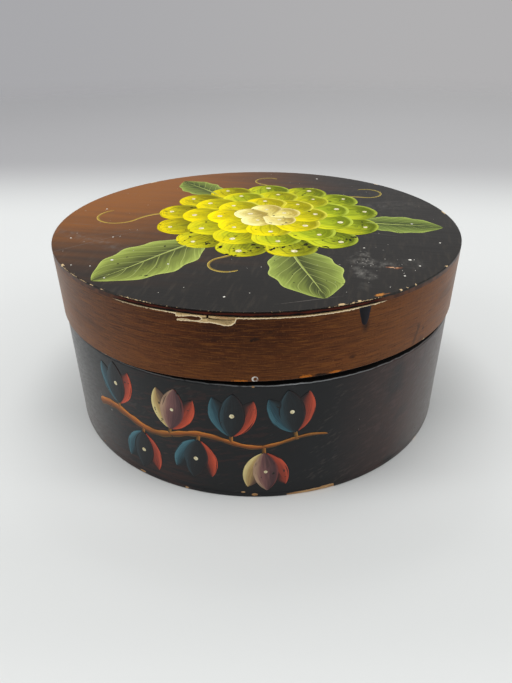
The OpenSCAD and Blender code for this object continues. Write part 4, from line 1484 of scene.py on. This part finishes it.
speck_places = [
    (-81.2, 21.8, 0.5), (-88.2, -23.0, 0.5), (-68.4, -22.2, 0.4), (-62.6, -50.7, 0.75),
    (-78.9, -55.8, 0.4), (-72.6, -66.3, 0.4), (-70.5, -57.1, 0.35), (-61.7, -69.5, 0.45),
    (-37.7, -55.7, 0.5), (-12.5, -87.8, 0.5), (77.7, -7.5, 0.6), (84.0, -34.1, 0.5),
    (65.4, -53.8, 0.75), (68.0, -60.4, 0.5), (48.3, -39.4, 0.5), (59.4, -70.3, 0.5), (39.0, 80.3, 0.6),
]
for i in range(34):
    turn = random.uniform(-0.4, 0.35)
    speck_places.append((48 + 60 * turn, -50 + random.gauss(0, 16), random.uniform(0.1, 0.2)))
for i in range(70):
    turn = random.uniform(0, 2 * math.pi)
    out = 96 * math.sqrt(random.random())
    speck_places.append((out * math.cos(turn), out * math.sin(turn), random.uniform(0.1, 0.22)))
speck_finish, tree, shader, where = new_finish("speck_paint", Specular_IOR_Level=0.3, Roughness=0.5)
dab = cloud(where, 1200, 2)
join(blend(rise(dab, 0.3, 0.7), "#b9b5aa", "#eeebe2"), shader.inputs["Base Color"])
bm = bmesh.new()
for x, y, radius in speck_places:
    if math.hypot(x, y) < 98 and (Vector((x, y)) - flower_middle).length > flower_reach:
        dot(bm, Vector((x, y, lid_top)) * mm, Vector((0, 0, 1)), radius, 0.25 * radius + 0.03)
specks = finished("lid_paint_specks", bm, speck_finish, sharp=80)
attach(specks, "lid")

# Floor, lamps and background
# A pale floor that turns darker grey away from the box, most towards the back, as painted
# shade standing in for a backdrop; near the box it has painted shadow at its sides and painted
# light just in front. Soft light comes from all round, from one wide lamp above and from two
# smaller lamps at the sides.
floor_finish, tree, shader, where = new_finish("floor_paper", Roughness=0.6, Specular_IOR_Level=0.2)
away = reach_of(where)
x, y, z = xyz(where)
back = calc("MAXIMUM", y, times(away, 0.55))
back = times_plus(calc("MAXIMUM", x, 0.0), 0.14, back)
# Painted shade: the floor turns darker grey towards the back, standing in for a backdrop
far_floor_shade = blend(rise(x, -0.6, 0.6), "#a6a6a8", "#b0b0b1")
# Painted shade and light near the box: a darker band further in front, painted shadow at the sides and
# painted light just in front
close = rise(away, 0.145, 0.105)
front = times(rise(y, -0.09, -0.13), rise(y, -0.19, -0.155))
paper = blend(front, "#d9dbda", "#d3d5d4")
painted_shadow_beside = times(close, rise(y, -0.07, -0.03))
paper = blend(painted_shadow_beside, paper, "#cbcdcc")
before = times(close, rise(y, -0.08, -0.105))
paper = blend(before, paper, "#e4e6e5")
paper = blend(rise(back, 0.28, 0.57), paper, far_floor_shade)
join(paper, shader.inputs["Base Color"])
join(rise(away, 1.9, 0.85), shader.inputs["Alpha"])
relief(shader, cloud(where, 160, 4), 0.02)
bm = bmesh.new()
bmesh.ops.create_circle(bm, cap_ends=True, segments=96, radius=3)
floor_piece = finished("floor", bm, floor_finish)

world = bpy.data.worlds.new("soft_room")
bpy.context.scene.world = world
world.use_nodes = True
tree = world.node_tree
tree.nodes.clear()
ray = put(tree, "LightPath")
direction = xyz(put(tree, "TexCoord").outputs["Generated"])
wall_side = blend(rise(direction[0], -0.45, 0.35), "#a8a8ab", "#b1b0b1")
wall_tone = blend(rise(direction[2], 0.6, 0.95), wall_side, "#f2f2f2")
light_tone = blend(rise(direction[2], -0.1, 0.9), (0.62, 0.62, 0.63, 1), (0.86, 0.86, 0.86, 1))
behind_eye = rise(direction[1], -0.45, -0.9)
light_tone = laid(light_tone, (0.15, 0.15, 0.155, 1), behind_eye, 0.85)
seen = calc("MAXIMUM", ray.outputs["Is Camera Ray"], ray.outputs["Is Glossy Ray"])
seen = calc("MAXIMUM", seen, ray.outputs["Is Transmission Ray"])
sky = put(tree, "Background", {"Color": blend(seen, light_tone, wall_tone), "Strength": 1.0})
put(tree, "OutputWorld", {"Surface": sky})


def lamp(name, at, size, power):
    """A wide soft lamp that faces the box."""
    data = bpy.data.lights.new(name, "AREA")
    data.shape = "DISK"
    data.size = size
    data.energy = power
    made = bpy.data.objects.new(name, data)
    made.location = at
    made.rotation_euler = (Vector((0, 0, 0.05)) - Vector(at)).to_track_quat("-Z", "Y").to_euler()
    bpy.context.scene.collection.objects.link(made)


lamp("lamp_above", (-0.1, 0.25, 1.6), 1.2, 9.5)
lamp("lamp_left", (-1.1, -0.3, 0.9), 0.7, 3)
lamp("lamp_right", (1.1, -0.3, 0.8), 0.7, 2.6)

bpy.context.scene.view_settings.view_transform = "Standard"
